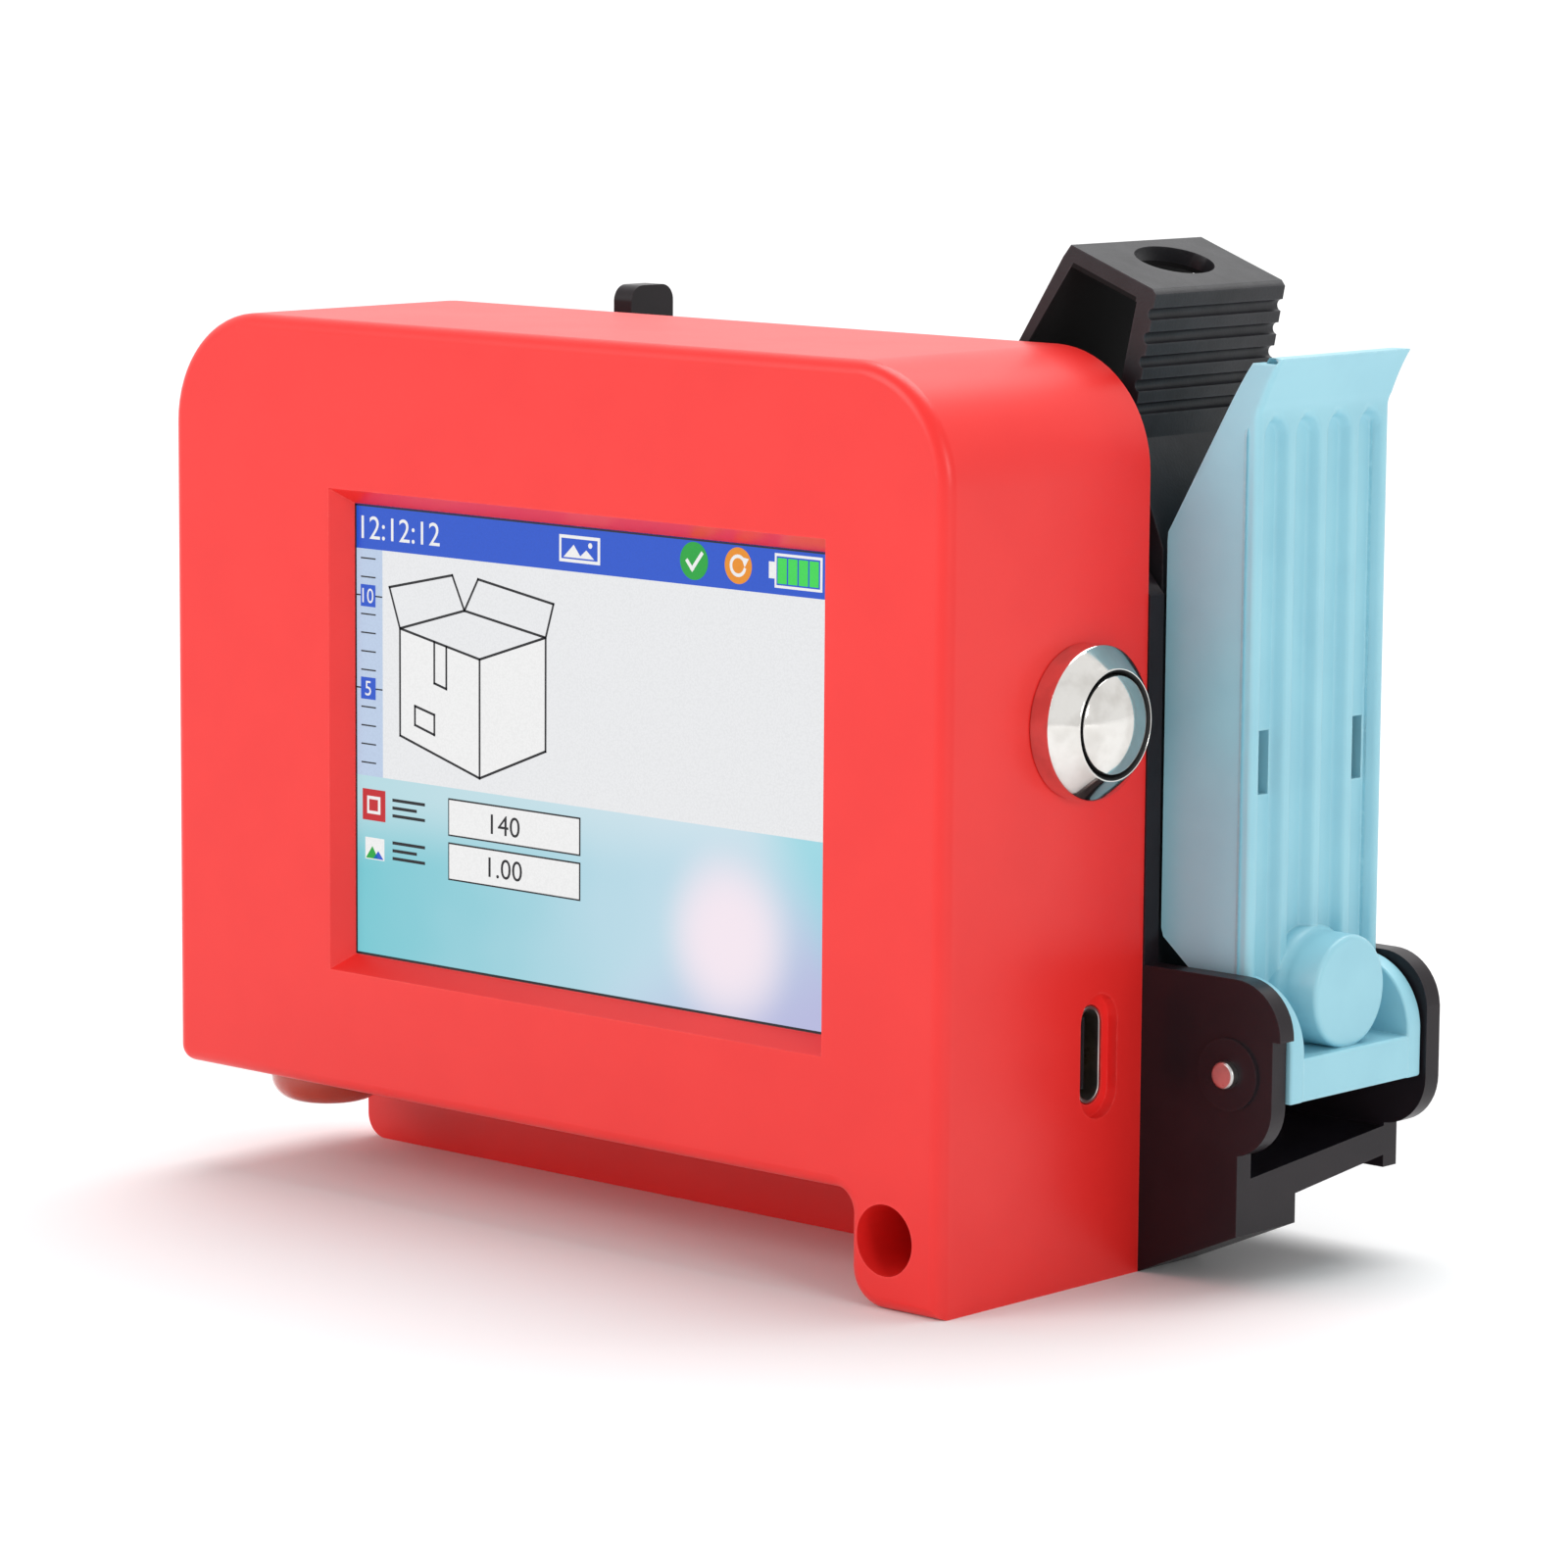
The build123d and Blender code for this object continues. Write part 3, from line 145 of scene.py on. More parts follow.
class Look:
    def __init__(self, name):
        self.material = bpy.data.materials.new(name)
        self.material.use_nodes = True
        self.tree = self.material.node_tree
        self.tree.nodes.clear()
        self.shader = self.tree.nodes.new("ShaderNodeBsdfPrincipled")
        output = self.tree.nodes.new("ShaderNodeOutputMaterial")
        self.tree.links.new(self.shader.outputs[0], output.inputs[0])

    def node(self, kind, settings=None, values=None, output=0):
        made = self.tree.nodes.new(kind)
        for name, value in (settings or {}).items():
            setattr(made, name, value)
        self.feed(made, values or {})
        return Signal(self, made.outputs[output])

    def feed(self, made, values):
        for name, value in values.items():
            if isinstance(value, Signal):
                self.tree.links.new(value.socket, made.inputs[name])
            else:
                made.inputs[name].default_value = value

    def surface(self, **values):
        self.feed(self.shader, {name.replace("_", " "): value for name, value in values.items()})

    def place(self, centre=(0, 0, 0), stretch=(1, 1, 1)):
        spot = self.node("ShaderNodeTexCoord", output="Object")
        return self.node("ShaderNodeMapping", {"vector_type": "POINT"}, {
            "Vector": self.node("ShaderNodeVectorMath", {"operation": "SUBTRACT"}, {0: spot, 1: centre}),
            "Scale": stretch,
        })

    def axes(self, centre=(0, 0, 0)):
        # the three distances from a point in millimetres
        made = self.place(centre, (1000, 1000, 1000))
        return [self.node("ShaderNodeSeparateXYZ", None, {0: made}, output) for output in range(3)]

    def noise(self, feature, detail=2.0, stretch=(1, 1, 1), rough=0.5):
        # feature is the size of a patch in millimetres
        return self.node("ShaderNodeTexNoise", None, {
            "Vector": self.place(stretch=stretch), "Scale": 1000 / feature,
            "Detail": detail, "Roughness": rough,
        })

    def cells(self, feature, kind="F1", stretch=(1, 1, 1)):
        return self.node("ShaderNodeTexVoronoi", {"feature": kind}, {
            "Vector": self.place(stretch=stretch), "Scale": 1000 / feature,
        })

    def blend(self, mask, under, over):
        mix = self.tree.nodes.new("ShaderNodeMix")
        mix.data_type = "RGBA"
        for name, value in ((0, mask), (6, under), (7, over)):
            if isinstance(value, Signal):
                self.tree.links.new(value.socket, mix.inputs[name])
            else:
                mix.inputs[name].default_value = value
        return Signal(self, mix.outputs[2])

    def rims(self, width):
        # 1 on outside and inside corners, 0 on flat faces
        rounded = self.node("ShaderNodeBevel", {"samples": 4}, {"Radius": width * mm})
        flat = self.node("ShaderNodeNewGeometry", output="Normal")
        settings = {"operation": "DOT_PRODUCT"}
        turned = self.node("ShaderNodeVectorMath", settings, {0: rounded, 1: flat}, output="Value")
        return (1 - turned).rise(0.01, 0.12)

    def relief(self, height, depth, strength=1.0):
        values = {"Height": height, "Distance": depth * mm, "Strength": strength}
        return self.node("ShaderNodeBump", None, values)


finishes = {
    "red_case": {
        "colour": srgb(235, 42, 38), "shade": srgb(232, 39, 36), "rim": srgb(248, 84, 78),
        "rough": (0.34, 0.42), "grain": (0.32, 0.004), "patch": 9, "coat": 0.12, "gloss": 0.38,
    },
    "black_plastic": {
        "colour": srgb(34, 27, 31), "shade": srgb(28, 23, 27), "rim": srgb(52, 45, 49),
        "rough": (0.26, 0.4), "grain": (0.4, 0.006), "patch": 6, "gloss": 0.22,
    },
    "cartridge_plastic": {
        "colour": srgb(34, 34, 38), "shade": srgb(27, 27, 30), "rim": srgb(76, 75, 79),
        "rough": (0.34, 0.55), "grain": (0.28, 0.02), "patch": 3, "gloss": 0.32,
        # painted shade: the inside of the finger hollow is darkened in the base colour
        "hollow": {
            "dark": srgb(7, 7, 8), "soft": 0.05, "low": 76, "start": (0.8, 1.2),
            "slope": (-21.6, 1.42), "front": (-6.05, 0.2), "top": (87.1, 0.374),
        },
    },
    "blue_plastic": {
        "colour": srgb(152, 208, 222), "shade": srgb(147, 203, 218), "rim": srgb(190, 230, 238),
        "rough": (0.3, 0.42), "grain": (0.5, 0.004), "patch": 7, "coat": 0.08,
    },
    "chip": {
        "colour": srgb(44, 44, 46), "shade": srgb(33, 33, 36), "rim": srgb(78, 78, 80),
        "rough": (0.45, 0.65), "grain": (0.12, 0.01), "patch": 1.5,
    },
    "connector": {
        "colour": srgb(236, 231, 214), "shade": srgb(222, 215, 194), "rim": srgb(248, 246, 236),
        "rough": (0.4, 0.55), "grain": (0.3, 0.006), "patch": 2,
    },
    "foam": {
        "colour": srgb(52, 52, 54), "shade": srgb(32, 32, 34), "rim": srgb(66, 66, 68),
        "rough": (0.85, 0.95), "grain": (0.35, 0.12), "patch": 0.8,
    },
    "wire": {
        "colour": srgb(176, 30, 26), "shade": srgb(140, 20, 20), "rim": srgb(200, 60, 54),
        "rough": (0.4, 0.55), "grain": (0.3, 0.006), "patch": 3,
    },
    "ink_film": {
        "colour": srgb(38, 38, 44), "shade": srgb(22, 22, 28), "rim": srgb(90, 90, 98),
        "rough": (0.12, 0.3), "grain": (2.2, 0.12), "patch": 4, "coat": 0.4,
    },
}
shadowFinish = {
    "colour": srgb(16, 16, 18), "shade": srgb(8, 8, 9), "rim": srgb(28, 28, 30),
    "rough": (0.5, 0.7), "grain": (0.2, 0.004), "patch": 1.0,
}
metals = {
    "chrome": {
        "colour": srgb(226, 224, 220), "shade": srgb(206, 203, 198),
        "rough": (0.05, 0.13), "brush": (1, 1, 1), "depth": 0.0006,
    },
    "steel": {
        "colour": srgb(204, 203, 200), "shade": srgb(170, 169, 168),
        "rough": (0.2, 0.4), "brush": (1, 1, 12), "depth": 0.002,
    },
    "gold": {
        "colour": srgb(232, 190, 104), "shade": srgb(206, 160, 78),
        "rough": (0.18, 0.34), "brush": (1, 1, 1), "depth": 0.002,
    },
}


def hollowShadeMask(look, edges):
    # 1 inside the finger hollow of the cartridge grip, measured back from its right side, where the colour
    # gets a painted shade
    across, _, up = look.axes(at(boxOf("cartridge_body")[1].x, 0, 0))
    low, soft = edges["low"], edges["soft"]
    back, lean = edges["slope"]
    inside = (across - (up - low) / lean).rise(back, back + soft)
    back, lean = edges["front"]
    inside = inside * (1 - (across - (up - low) * lean).rise(back, back + soft))
    high, lean = edges["top"]
    inside = inside * (1 - (up + across * lean).rise(high, high + soft))
    first, last = edges["start"]
    return inside * up.rise(low + first, low + last)


def mouldedLook(name, settings):
    look = Look(name)
    patches = look.noise(settings["patch"], 3)
    grain = look.noise(settings["grain"][0], 3, rough=0.65)
    rims = look.rims(0.35)
    scuffs = look.noise(0.9, 4, rough=0.75).rise(0.45, 0.7)
    colour = look.blend(patches.rise(0.3, 0.7), settings["colour"], settings["shade"])
    colour = look.blend(rims * (0.25 + 0.45 * scuffs), colour, settings["rim"])
    low, high = settings["rough"]
    rough = low + (high - low) * (0.6 * patches + 0.4 * grain) + 0.08 * rims * scuffs
    # painted shade: inside the finger hollow the colour is darkened to near black and the surface made matt
    if "hollow" in settings:
        hollow = hollowShadeMask(look, settings["hollow"])
        colour = look.blend(hollow, colour, settings["hollow"]["dark"])
        rough = rough.larger(0.95 * hollow)
    look.surface(
        Base_Color=colour,
        Roughness=rough,
        Normal=look.relief(grain, settings["grain"][1]),
        Specular_IOR_Level=settings.get("gloss", 0.5),
        Coat_Weight=settings.get("coat", 0),
        Coat_Roughness=0.3,
    )
    return look


def metalLook(name, settings):
    look = Look(name)
    brushed = look.noise(0.5, 4, stretch=settings["brush"], rough=0.7)
    smears = look.noise(2.5, 3)
    rims = look.rims(0.2)
    low, high = settings["rough"]
    clouding = smears.rise(0.35, 0.7) * 0.8 + 0.2 * brushed
    look.surface(
        Base_Color=look.blend(clouding, settings["colour"], settings["shade"]),
        Metallic=1.0,
        Roughness=low + (high - low) * (0.5 * smears + 0.5 * brushed) + 0.06 * rims,
        Normal=look.relief(brushed, settings["depth"]),
    )
    return look


def boardLook(name):
    # green solder mask over copper tracks
    look = Look(name)
    mask = look.cells(3.2, "DISTANCE_TO_EDGE")
    tracks = 1 - mask.rise(0.05, 0.09)
    vias = 1 - look.cells(2.1).rise(0.16, 0.2)
    weave = look.noise(0.35, 3, stretch=(1, 3, 1))
    colour = look.blend(weave.rise(0.3, 0.7), srgb(18, 96, 58), srgb(14, 78, 48))
    colour = look.blend(tracks, colour, srgb(36, 132, 78))
    colour = look.blend(vias, colour, srgb(198, 172, 104))
    look.surface(
        Base_Color=colour,
        Metallic=vias * 0.8,
        Roughness=0.3 + 0.2 * weave,
        Normal=look.relief(tracks + 0.3 * weave, 0.03),
        Coat_Weight=0.3,
    )
    return look


def foilLook(name):
    # crimped silver pouch of the battery
    look = Look(name)
    creases = look.noise(6, 5, rough=0.7)
    fine = look.noise(0.6, 2)
    look.surface(
        Base_Color=look.blend(creases.rise(0.35, 0.7), srgb(176, 180, 184), srgb(146, 150, 156)),
        Metallic=0.6 + 0.3 * fine,
        Roughness=0.25 + 0.25 * creases,
        Normal=look.relief(creases + 0.1 * fine, 0.25),
    )
    return look


def stripedLook(name, base, line, pitch, axis):
    # flat cable: parallel conductors under a clear film
    look = Look(name)
    across = look.axes()[axis]
    lines = across.repeat(pitch / 2).rise(pitch * 0.18, pitch * 0.26)
    wear = look.noise(1.5, 3)
    look.surface(
        Base_Color=look.blend(lines * (0.7 + 0.3 * wear), base, line),
        Roughness=0.28 + 0.25 * wear,
        Normal=look.relief(lines + 0.2 * wear, 0.02),
        Coat_Weight=0.2,
    )
    return look


def lensLook(name):
    # tinted acrylic over the product sensor
    look = Look(name)
    clouds = look.noise(2.4, 3)
    rims = look.rims(0.5)
    look.surface(
        # painted highlight: the tint is lighter along the edges, over random clouding
        Base_Color=look.blend(rims * 0.7 + 0.2 * clouds, srgb(186, 58, 36), srgb(214, 96, 62)),
        Roughness=0.12 + 0.14 * clouds,
        Normal=look.relief(clouds, 0.02),
        Coat_Weight=0.5,
    )
    return look


def glassLook(name):
    # dark glass with smears and specks of dust
    look = Look(name)
    smears = look.noise(7, 4)
    dust = look.cells(1.1).rise(0.02, 0.05)
    look.surface(
        Base_Color=look.blend(dust, srgb(60, 62, 66), srgb(14, 15, 18)),
        Roughness=0.06 + 0.12 * smears,
        Normal=look.relief(smears, 0.004),
        Coat_Weight=0.6,
    )
    return look


def backlightLook(name):
    look = Look(name)
    ripple = look.noise(5, 2)
    rims = look.rims(0.6)
    look.surface(
        Base_Color=look.blend(ripple, srgb(168, 214, 226), srgb(196, 226, 236)),
        Roughness=0.35 + 0.2 * rims + 0.1 * ripple,
        Normal=look.relief(ripple, 0.01),
    )
    return look


looks = {name: mouldedLook(name, settings) for name, settings in finishes.items()}
looks.update({name: metalLook(name, settings) for name, settings in metals.items()})
looks["board"] = boardLook("board")
looks["battery"] = foilLook("battery")
looks["ribbon"] = stripedLook("ribbon", srgb(236, 236, 232), srgb(176, 178, 180), 1.0, 2)
looks["flex"] = stripedLook("flex", srgb(160, 96, 34), srgb(196, 132, 62), 0.8, 1)
looks["sensor_orange"] = lensLook("sensor_orange")
looks["glass"] = glassLook("glass")
looks["shadow"] = mouldedLook("shadow", shadowFinish)
looks["screen"] = backlightLook("screen")
print("materials made:", len(looks))

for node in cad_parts.values():
    for slot in node.material_slots:
        slot.material = looks[slot.material.name.split(".")[0]].material


# mesh helpers
def pieceFrom(name, mesh, looksUsed, body, replaced=()):
    piece = linked(bpy.data.objects.new(name, mesh))
    if looksUsed:
        if mesh.materials:
            mesh.materials.clear()
        for look in looksUsed:
            mesh.materials.append(look.material)
    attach(piece, body)
    if replaced:
        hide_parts(*replaced)


def finishedMesh(piece):
    # the piece's mesh with its modifiers worked in
    graph = bpy.context.evaluated_depsgraph_get()
    shown = piece.evaluated_get(graph)
    mesh = bpy.data.meshes.new_from_object(shown, preserve_all_data_layers=True, depsgraph=graph)
    bpy.data.objects.remove(piece)
    return mesh


def roundEdges(mesh, width, limit=33, segments=2):
    # sharp edges get a small radius, and flat faces keep their own shading
    piece = linked(bpy.data.objects.new("work", mesh))
    bevel = piece.modifiers.new("edges", "BEVEL")
    bevel.width = width * mm
    bevel.segments = segments
    bevel.limit_method = "ANGLE"
    bevel.angle_limit = radians(limit)
    bevel.miter_outer = "MITER_ARC"
    shading = piece.modifiers.new("shading", "WEIGHTED_NORMAL")
    shading.keep_sharp = True
    return finishedMesh(piece)


def meshOf(work, smooth=True):
    mesh = bpy.data.meshes.new("work")
    for face in work.faces:
        face.smooth = smooth
    work.to_mesh(mesh)
    work.free()
    return mesh


def softCopy(node, width):
    # a merged copy of a CAD part with its edges rounded
    work = bmesh.new()
    work.from_mesh(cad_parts[node].data)
    bmesh.ops.remove_doubles(work, verts=work.verts, dist=0.002 * mm)
    bmesh.ops.dissolve_limit(work, angle_limit=radians(0.3), verts=work.verts, edges=work.edges)
    mesh = meshOf(work)
    loose = mesh.attributes.get("custom_normal")  # the CAD part's own shading, which no longer fits
    if loose:
        mesh.attributes.remove(loose)
    return roundEdges(mesh, width)


def addPrism(work, outline, low, high):
    # outline holds points across and up, low and high are its ends along the depth
    rings = []
    for depth in (low, high):
        rings.append([work.verts.new(at(across, depth, up)) for across, up in outline])
    work.faces.new(rings[0])
    work.faces.new(rings[1])
    for step in range(len(outline)):
        after = (step + 1) % len(outline)
        work.faces.new((rings[0][step], rings[0][after], rings[1][after], rings[1][step]))


def addTurned(work, profile, centre, steps=96):
    # profile holds places along the width with a radius, and a material for the band that follows
    rings = []
    for along, radius, look in profile:
        if radius == 0:
            rings.append([work.verts.new(at(along, *centre))])
            continue
        ring = []
        for step in range(steps):
            angle = 2 * pi * step / steps
            depth, up = centre[0] + radius * cos(angle), centre[1] + radius * sin(angle)
            ring.append(work.verts.new(at(along, depth, up)))
        rings.append(ring)
    for first, second, (_, _, look) in zip(rings, rings[1:], profile):
        for step in range(steps):
            near, far = step, (step + 1) % steps
            corners = [first[near % len(first)], first[far % len(first)]]
            corners += [second[far % len(second)], second[near % len(second)]]
            made = work.faces.new(list(dict.fromkeys(corners)))
            made.material_index = look


# a row of equal blocks, used for contacts, ticks and battery cells
def rowTree():
    tree = bpy.data.node_groups.new("row of blocks", "GeometryNodeTree")
    tree.interface.new_socket("Geometry", in_out="OUTPUT", socket_type="NodeSocketGeometry")
    inputs = {"Count": "Int", "Start": "Vector", "Step": "Vector", "Size": "Vector", "Finish": "Material"}
    for name, kind in inputs.items():
        tree.interface.new_socket(name, in_out="INPUT", socket_type="NodeSocket" + kind)
    given = tree.nodes.new("NodeGroupInput")
    line = tree.nodes.new("GeometryNodeMeshLine")
    cube = tree.nodes.new("GeometryNodeMeshCube")
    put = tree.nodes.new("GeometryNodeInstanceOnPoints")
    real = tree.nodes.new("GeometryNodeRealizeInstances")
    finish = tree.nodes.new("GeometryNodeSetMaterial")
    result = tree.nodes.new("NodeGroupOutput")
    for start, end in (
        (given.outputs["Count"], line.inputs["Count"]),
        (given.outputs["Start"], line.inputs["Start Location"]),
        (given.outputs["Step"], line.inputs["Offset"]),
        (given.outputs["Size"], cube.inputs["Size"]),
        (line.outputs["Mesh"], put.inputs["Points"]),
        (cube.outputs["Mesh"], put.inputs["Instance"]),
        (put.outputs["Instances"], real.inputs["Geometry"]),
        (real.outputs["Geometry"], finish.inputs["Geometry"]),
        (given.outputs["Finish"], finish.inputs["Material"]),
        (finish.outputs["Geometry"], result.inputs["Geometry"]),
    ):
        tree.links.new(start, end)
    return tree


blockRow = rowTree()


def makeRow(name, look, body, count, start, step, size):
    values = {"Count": count, "Start": start, "Step": step, "Size": size, "Finish": look.material}
    holder = linked(bpy.data.objects.new("work", bpy.data.meshes.new("work")))
    modifier = holder.modifiers.new("row", "NODES")
    modifier.node_group = blockRow
    for item in blockRow.interface.items_tree:
        if item.in_out == "INPUT":
            modifier[item.identifier] = values[item.name]
    pieceFrom(name, finishedMesh(holder), [], body)


# latch: a ribbed shell with a flared lip, a heel and a round cap
latchLow, latchHigh = boxOf("latch")
latchShape = {
    "depth": 10.0, "wall": 1.6, "corner": 0.55, "cornerSteps": 4, "sideSteps": 7, "edge": 0.14,
    "shoulder": 50.3, "shoulderSlope": 0.57, "foot": 13.8, "footSlope": 6.0, "knuckle": 2.8,
    "lip": 5.4, "lipCorner": 0.5, "lipWall": 0.15, "lipSteps": 16,
    "flare": 2.4, "flareStart": 4, "bend": 0.35,
    "ribs": 3, "border": 1.0, "ribWidth": 0.8, "channel": 1.1, "channelTop": 61.3, "channelEdge": 0.42,
    "slot": (27.2, 33.0, 1.0), "slotClear": 0.06,  # lowest, highest and half width
    "fineFrom": 56, "coarse": 0.8, "fine": 0.2, "columns": 116,
    "toe": 4.0, "toeInset": 0.03, "gusset": 2.0, "gussetLap": 0.35, "heelEdge": 0.3,
    "arc": 6.6, "arcHeight": 4.4, "arcTurn": 82, "arcSteps": 24,
    "capRadius": 5.2, "capHeight": 9.0, "capEnd": 14.2, "capSunk": 2.2,
    # past the face and wider than the cap, then short of the end and narrower
    "capRoot": ((-2.2, 0.5), (-0.2, 0.45), (0.15, 0.25), (0.5, 0.08), (1.0, 0)),
    "capRim": ((0.5, 0), (0.28, 0.05), (0.12, 0.16), (0.02, 0.34), (0, 0.55)),
    "sleeve": (4.5, 7.7, 4.6, 3.0), "sleeveSteps": 64,  # start, end, outer and inner radius
}


def latchDepthAt(shape, across, up, width):
    # how far the channels sink in at a point of the front
    pitch = (width - shape["border"]) / (shape["ribs"] + 1)
    middle = (int((across - shape["border"] / 2) // pitch) + 0.5) * pitch + shape["border"] / 2
    half = (pitch - shape["ribWidth"]) / 2
    archStart = shape["channelTop"] - half
    if up > archStart:
        away = sqrt((across - middle) ** 2 + (up - archStart) ** 2) / half
    else:
        away = abs(across - middle) / half
    fade = min(1, max(0, (1 - away) / shape["channelEdge"]))
    return shape["channel"] * fade * fade * (3 - 2 * fade)


def makeLatch(shape):
    size = latchHigh - latchLow
    face = shape["depth"]
    lipStart = size.z - shape["lip"]
    slotLow, slotHigh, slotHalf = shape["slot"]
    pitch = (size.y - shape["border"]) / (shape["ribs"] + 1)
    slotMiddles = [shape["border"] / 2 + pitch * place for place in (0.5, shape["ribs"] + 0.5)]
    fineFrom, coarse, fine = shape["fineFrom"], shape["coarse"], shape["fine"]
    levels = [step * coarse for step in range(int(fineFrom / coarse))]
    levels += [fineFrom + step * fine for step in range(int((lipStart - fineFrom) / fine) + 1)]
    levels += [lipStart + shape["lip"] * (step + 1) / shape["lipSteps"] for step in range(shape["lipSteps"])]
    ends = [slotLow, slotHigh]
    levels = sorted([up for up in set(levels) if min(abs(up - end) for end in ends) > fine] + ends)
    columns, corner = shape["columns"], shape["corner"]
    across = [corner + (size.y - 2 * corner) * step / columns for step in range(columns + 1)]
    edges = [middle + side * slotHalf for middle in slotMiddles for side in (-1, 1)]
    clear = shape["slotClear"]
    across = sorted([y for y in across if min(abs(y - edge) for edge in edges) > clear] + edges)

    def faceAt(up):
        rise = max(0, (up - lipStart) / shape["lip"])
        curve = shape["bend"] * rise * rise + (1 - shape["bend"]) * rise
        return face + shape["flare"] * curve * min(1, rise * shape["flareStart"])

    def backAt(up):
        if up < shape["foot"] - shape["footSlope"]:
            return face - shape["knuckle"]
        if up < shape["foot"]:
            return (face - shape["knuckle"]) * (shape["foot"] - up) / shape["footSlope"]
        slope = max(0, (up - shape["shoulder"]) * shape["shoulderSlope"])
        return min(slope, faceAt(up) - shape["wall"] - shape["lipWall"])

    work = bmesh.new()
    rows = []
    sideSteps, cornerSteps = shape["sideSteps"], shape["cornerSteps"]
    border = sideSteps + cornerSteps + 1
    for up in levels:
        front, back = faceAt(up), backAt(up)
        points = [(back + (front - corner - back) * step / sideSteps, 0) for step in range(sideSteps)]
        for step in range(cornerSteps + 1):
            angle = pi / 2 * step / cornerSteps
            points.append((front - corner + corner * sin(angle), corner - corner * cos(angle)))
        for y in across[1:-1]:
            points.append((front - latchDepthAt(shape, y, up, size.y), y))
        points += [(x, size.y - y) for x, y in reversed(points[:border])]
        row = []
        for x, y in points:
            edge = max(0, shape["lipCorner"] - min(y, size.y - y))
            drop = shape["lipCorner"] - sqrt(shape["lipCorner"] ** 2 - edge ** 2)
            height = up - drop * max(0, (up - lipStart) / shape["lip"]) ** 3
            row.append(work.verts.new(at(latchLow.x + x, latchLow.y + y, latchLow.z + height)))
        rows.append((up, points, row))
    for (low, points, first), (high, _, second) in zip(rows, rows[1:]):
        for step in range(len(first) - 1):
            y = (points[step][1] + points[step + 1][1]) / 2
            onFront = border <= step < len(first) - border
            inSlot = onFront and any(abs(y - middle) < slotHalf for middle in slotMiddles)
            if not (inSlot and slotLow <= (low + high) / 2 <= slotHigh):
                work.faces.new((first[step], first[step + 1], second[step + 1], second[step]))
    bmesh.ops.recalc_face_normals(work, faces=work.faces)
    sheet = meshOf(work)
    if sum(polygon.normal.x * polygon.area for polygon in sheet.polygons) < 0:
        sheet.flip_normals()
    piece = linked(bpy.data.objects.new("work", sheet))
    solid = piece.modifiers.new("wall", "SOLIDIFY")
    solid.thickness = shape["wall"] * mm
    solid.offset = -1
    solid.use_even_offset = False
    shell = finishedMesh(piece)
    top = at(0, 0, latchHigh.z).z
    for vertex in shell.vertices:
        vertex.co.z = min(vertex.co.z, top)
    shell = roundEdges(shell, shape["edge"], 50)

    work = bmesh.new()
    left, middle = latchLow.x, (latchLow.y + latchHigh.y) / 2
    root, foot = left + face - shape["knuckle"], latchLow.z
    toeFront, toeFoot, toeTop = latchHigh.x - shape["toeInset"], foot + shape["toeInset"], foot + shape["toe"]
    heel = [(root, toeFoot), (toeFront, toeFoot), (toeFront, toeTop), (root, toeTop)]
    inset = shape["gusset"] - shape["gussetLap"]
    addPrism(work, heel, latchLow.y + inset, latchHigh.y - inset)
    arcMiddle = (latchHigh.x - shape["arc"], latchLow.z + shape["arcHeight"])
    plate = [(root, foot), (latchHigh.x, foot)]
    for step in range(shape["arcSteps"] + 1):
        angle = radians(shape["arcTurn"]) * step / shape["arcSteps"]
        plate.append((arcMiddle[0] + shape["arc"] * cos(angle), arcMiddle[1] + shape["arc"] * sin(angle)))
    plate.append((root, plate[-1][1]))
    addPrism(work, plate, latchLow.y, latchLow.y + shape["gusset"])
    addPrism(work, plate, latchHigh.y - shape["gusset"], latchHigh.y)
    bmesh.ops.recalc_face_normals(work, faces=work.faces)
    heelMesh = roundEdges(meshOf(work), shape["heelEdge"], 35, 3)

    work = bmesh.new()
    radius, end = shape["capRadius"], left + shape["capEnd"]
    base = left + face
    profile = [(base - shape["capSunk"], 0, 0)]
    profile += [(base + past, radius + wider, 0) for past, wider in shape["capRoot"]]
    profile += [(end - short, radius - narrower, 0) for short, narrower in shape["capRim"]]
    profile.append((end, 0, 0))
    addTurned(work, profile, (middle, latchLow.z + shape["capHeight"]))
    start, stop, outer, bore = shape["sleeve"]
    ring = [(start, bore), (start, outer), (stop, outer), (stop, bore), (start, bore)]
    ring = [(left + past, radius, 0) for past, radius in ring]
    addTurned(work, ring, (middle, latchLow.z + shape["capHeight"]), shape["sleeveSteps"])
    bmesh.ops.remove_doubles(work, verts=work.verts, dist=0.001 * mm)
    bmesh.ops.recalc_face_normals(work, faces=work.faces)
    capMesh = meshOf(work)

    work = bmesh.new()
    for part in (shell, heelMesh, capMesh):
        work.from_mesh(part)
    pieceFrom("latchShell", meshOf(work), [looks["blue_plastic"]], "latch", ["latch"])


makeLatch(latchShape)
print("latch made")


# push button, turned about its own axis
bezelLow, bezelHigh = boxOf("button_bezel")
plungerLow, plungerHigh = boxOf("button_plunger")
buttonShape = {
    "rim": 2.2, "face": 4.2, "bore": 4.58, "groove": 4.95, "shoulder": 1.8, "barrel": 5.9, "counterbore": 5.2,
    # past the case or the rim and in from the outside, then below the top and out from the groove
    "rimFoot": ((0, 0.12), (0.12, 0)),
    "rimRound": ((-0.2, 0), (-0.06, 0.03), (0.05, 0.1), (0.2, 0.28)),
    "lipRound": ((0.12, 0.16), (0.02, 0.05)),
    "grooveStart": (0.06, -0.02), "grooveDepth": 0.5,
    "stem": 3.3, "stemLength": 2.5, "flange": 5.1, "plunger": 4.5, "crown": 4.3, "dome": 1.2, "domeSteps": 18,
    # below the bezel's top and in from the plunger's side
    "plungerSide": ((0.2, 0.04), (0.05, 0.1)), "plungerRise": 0.45,
    "steps": 128, "edge": 0.03,
}


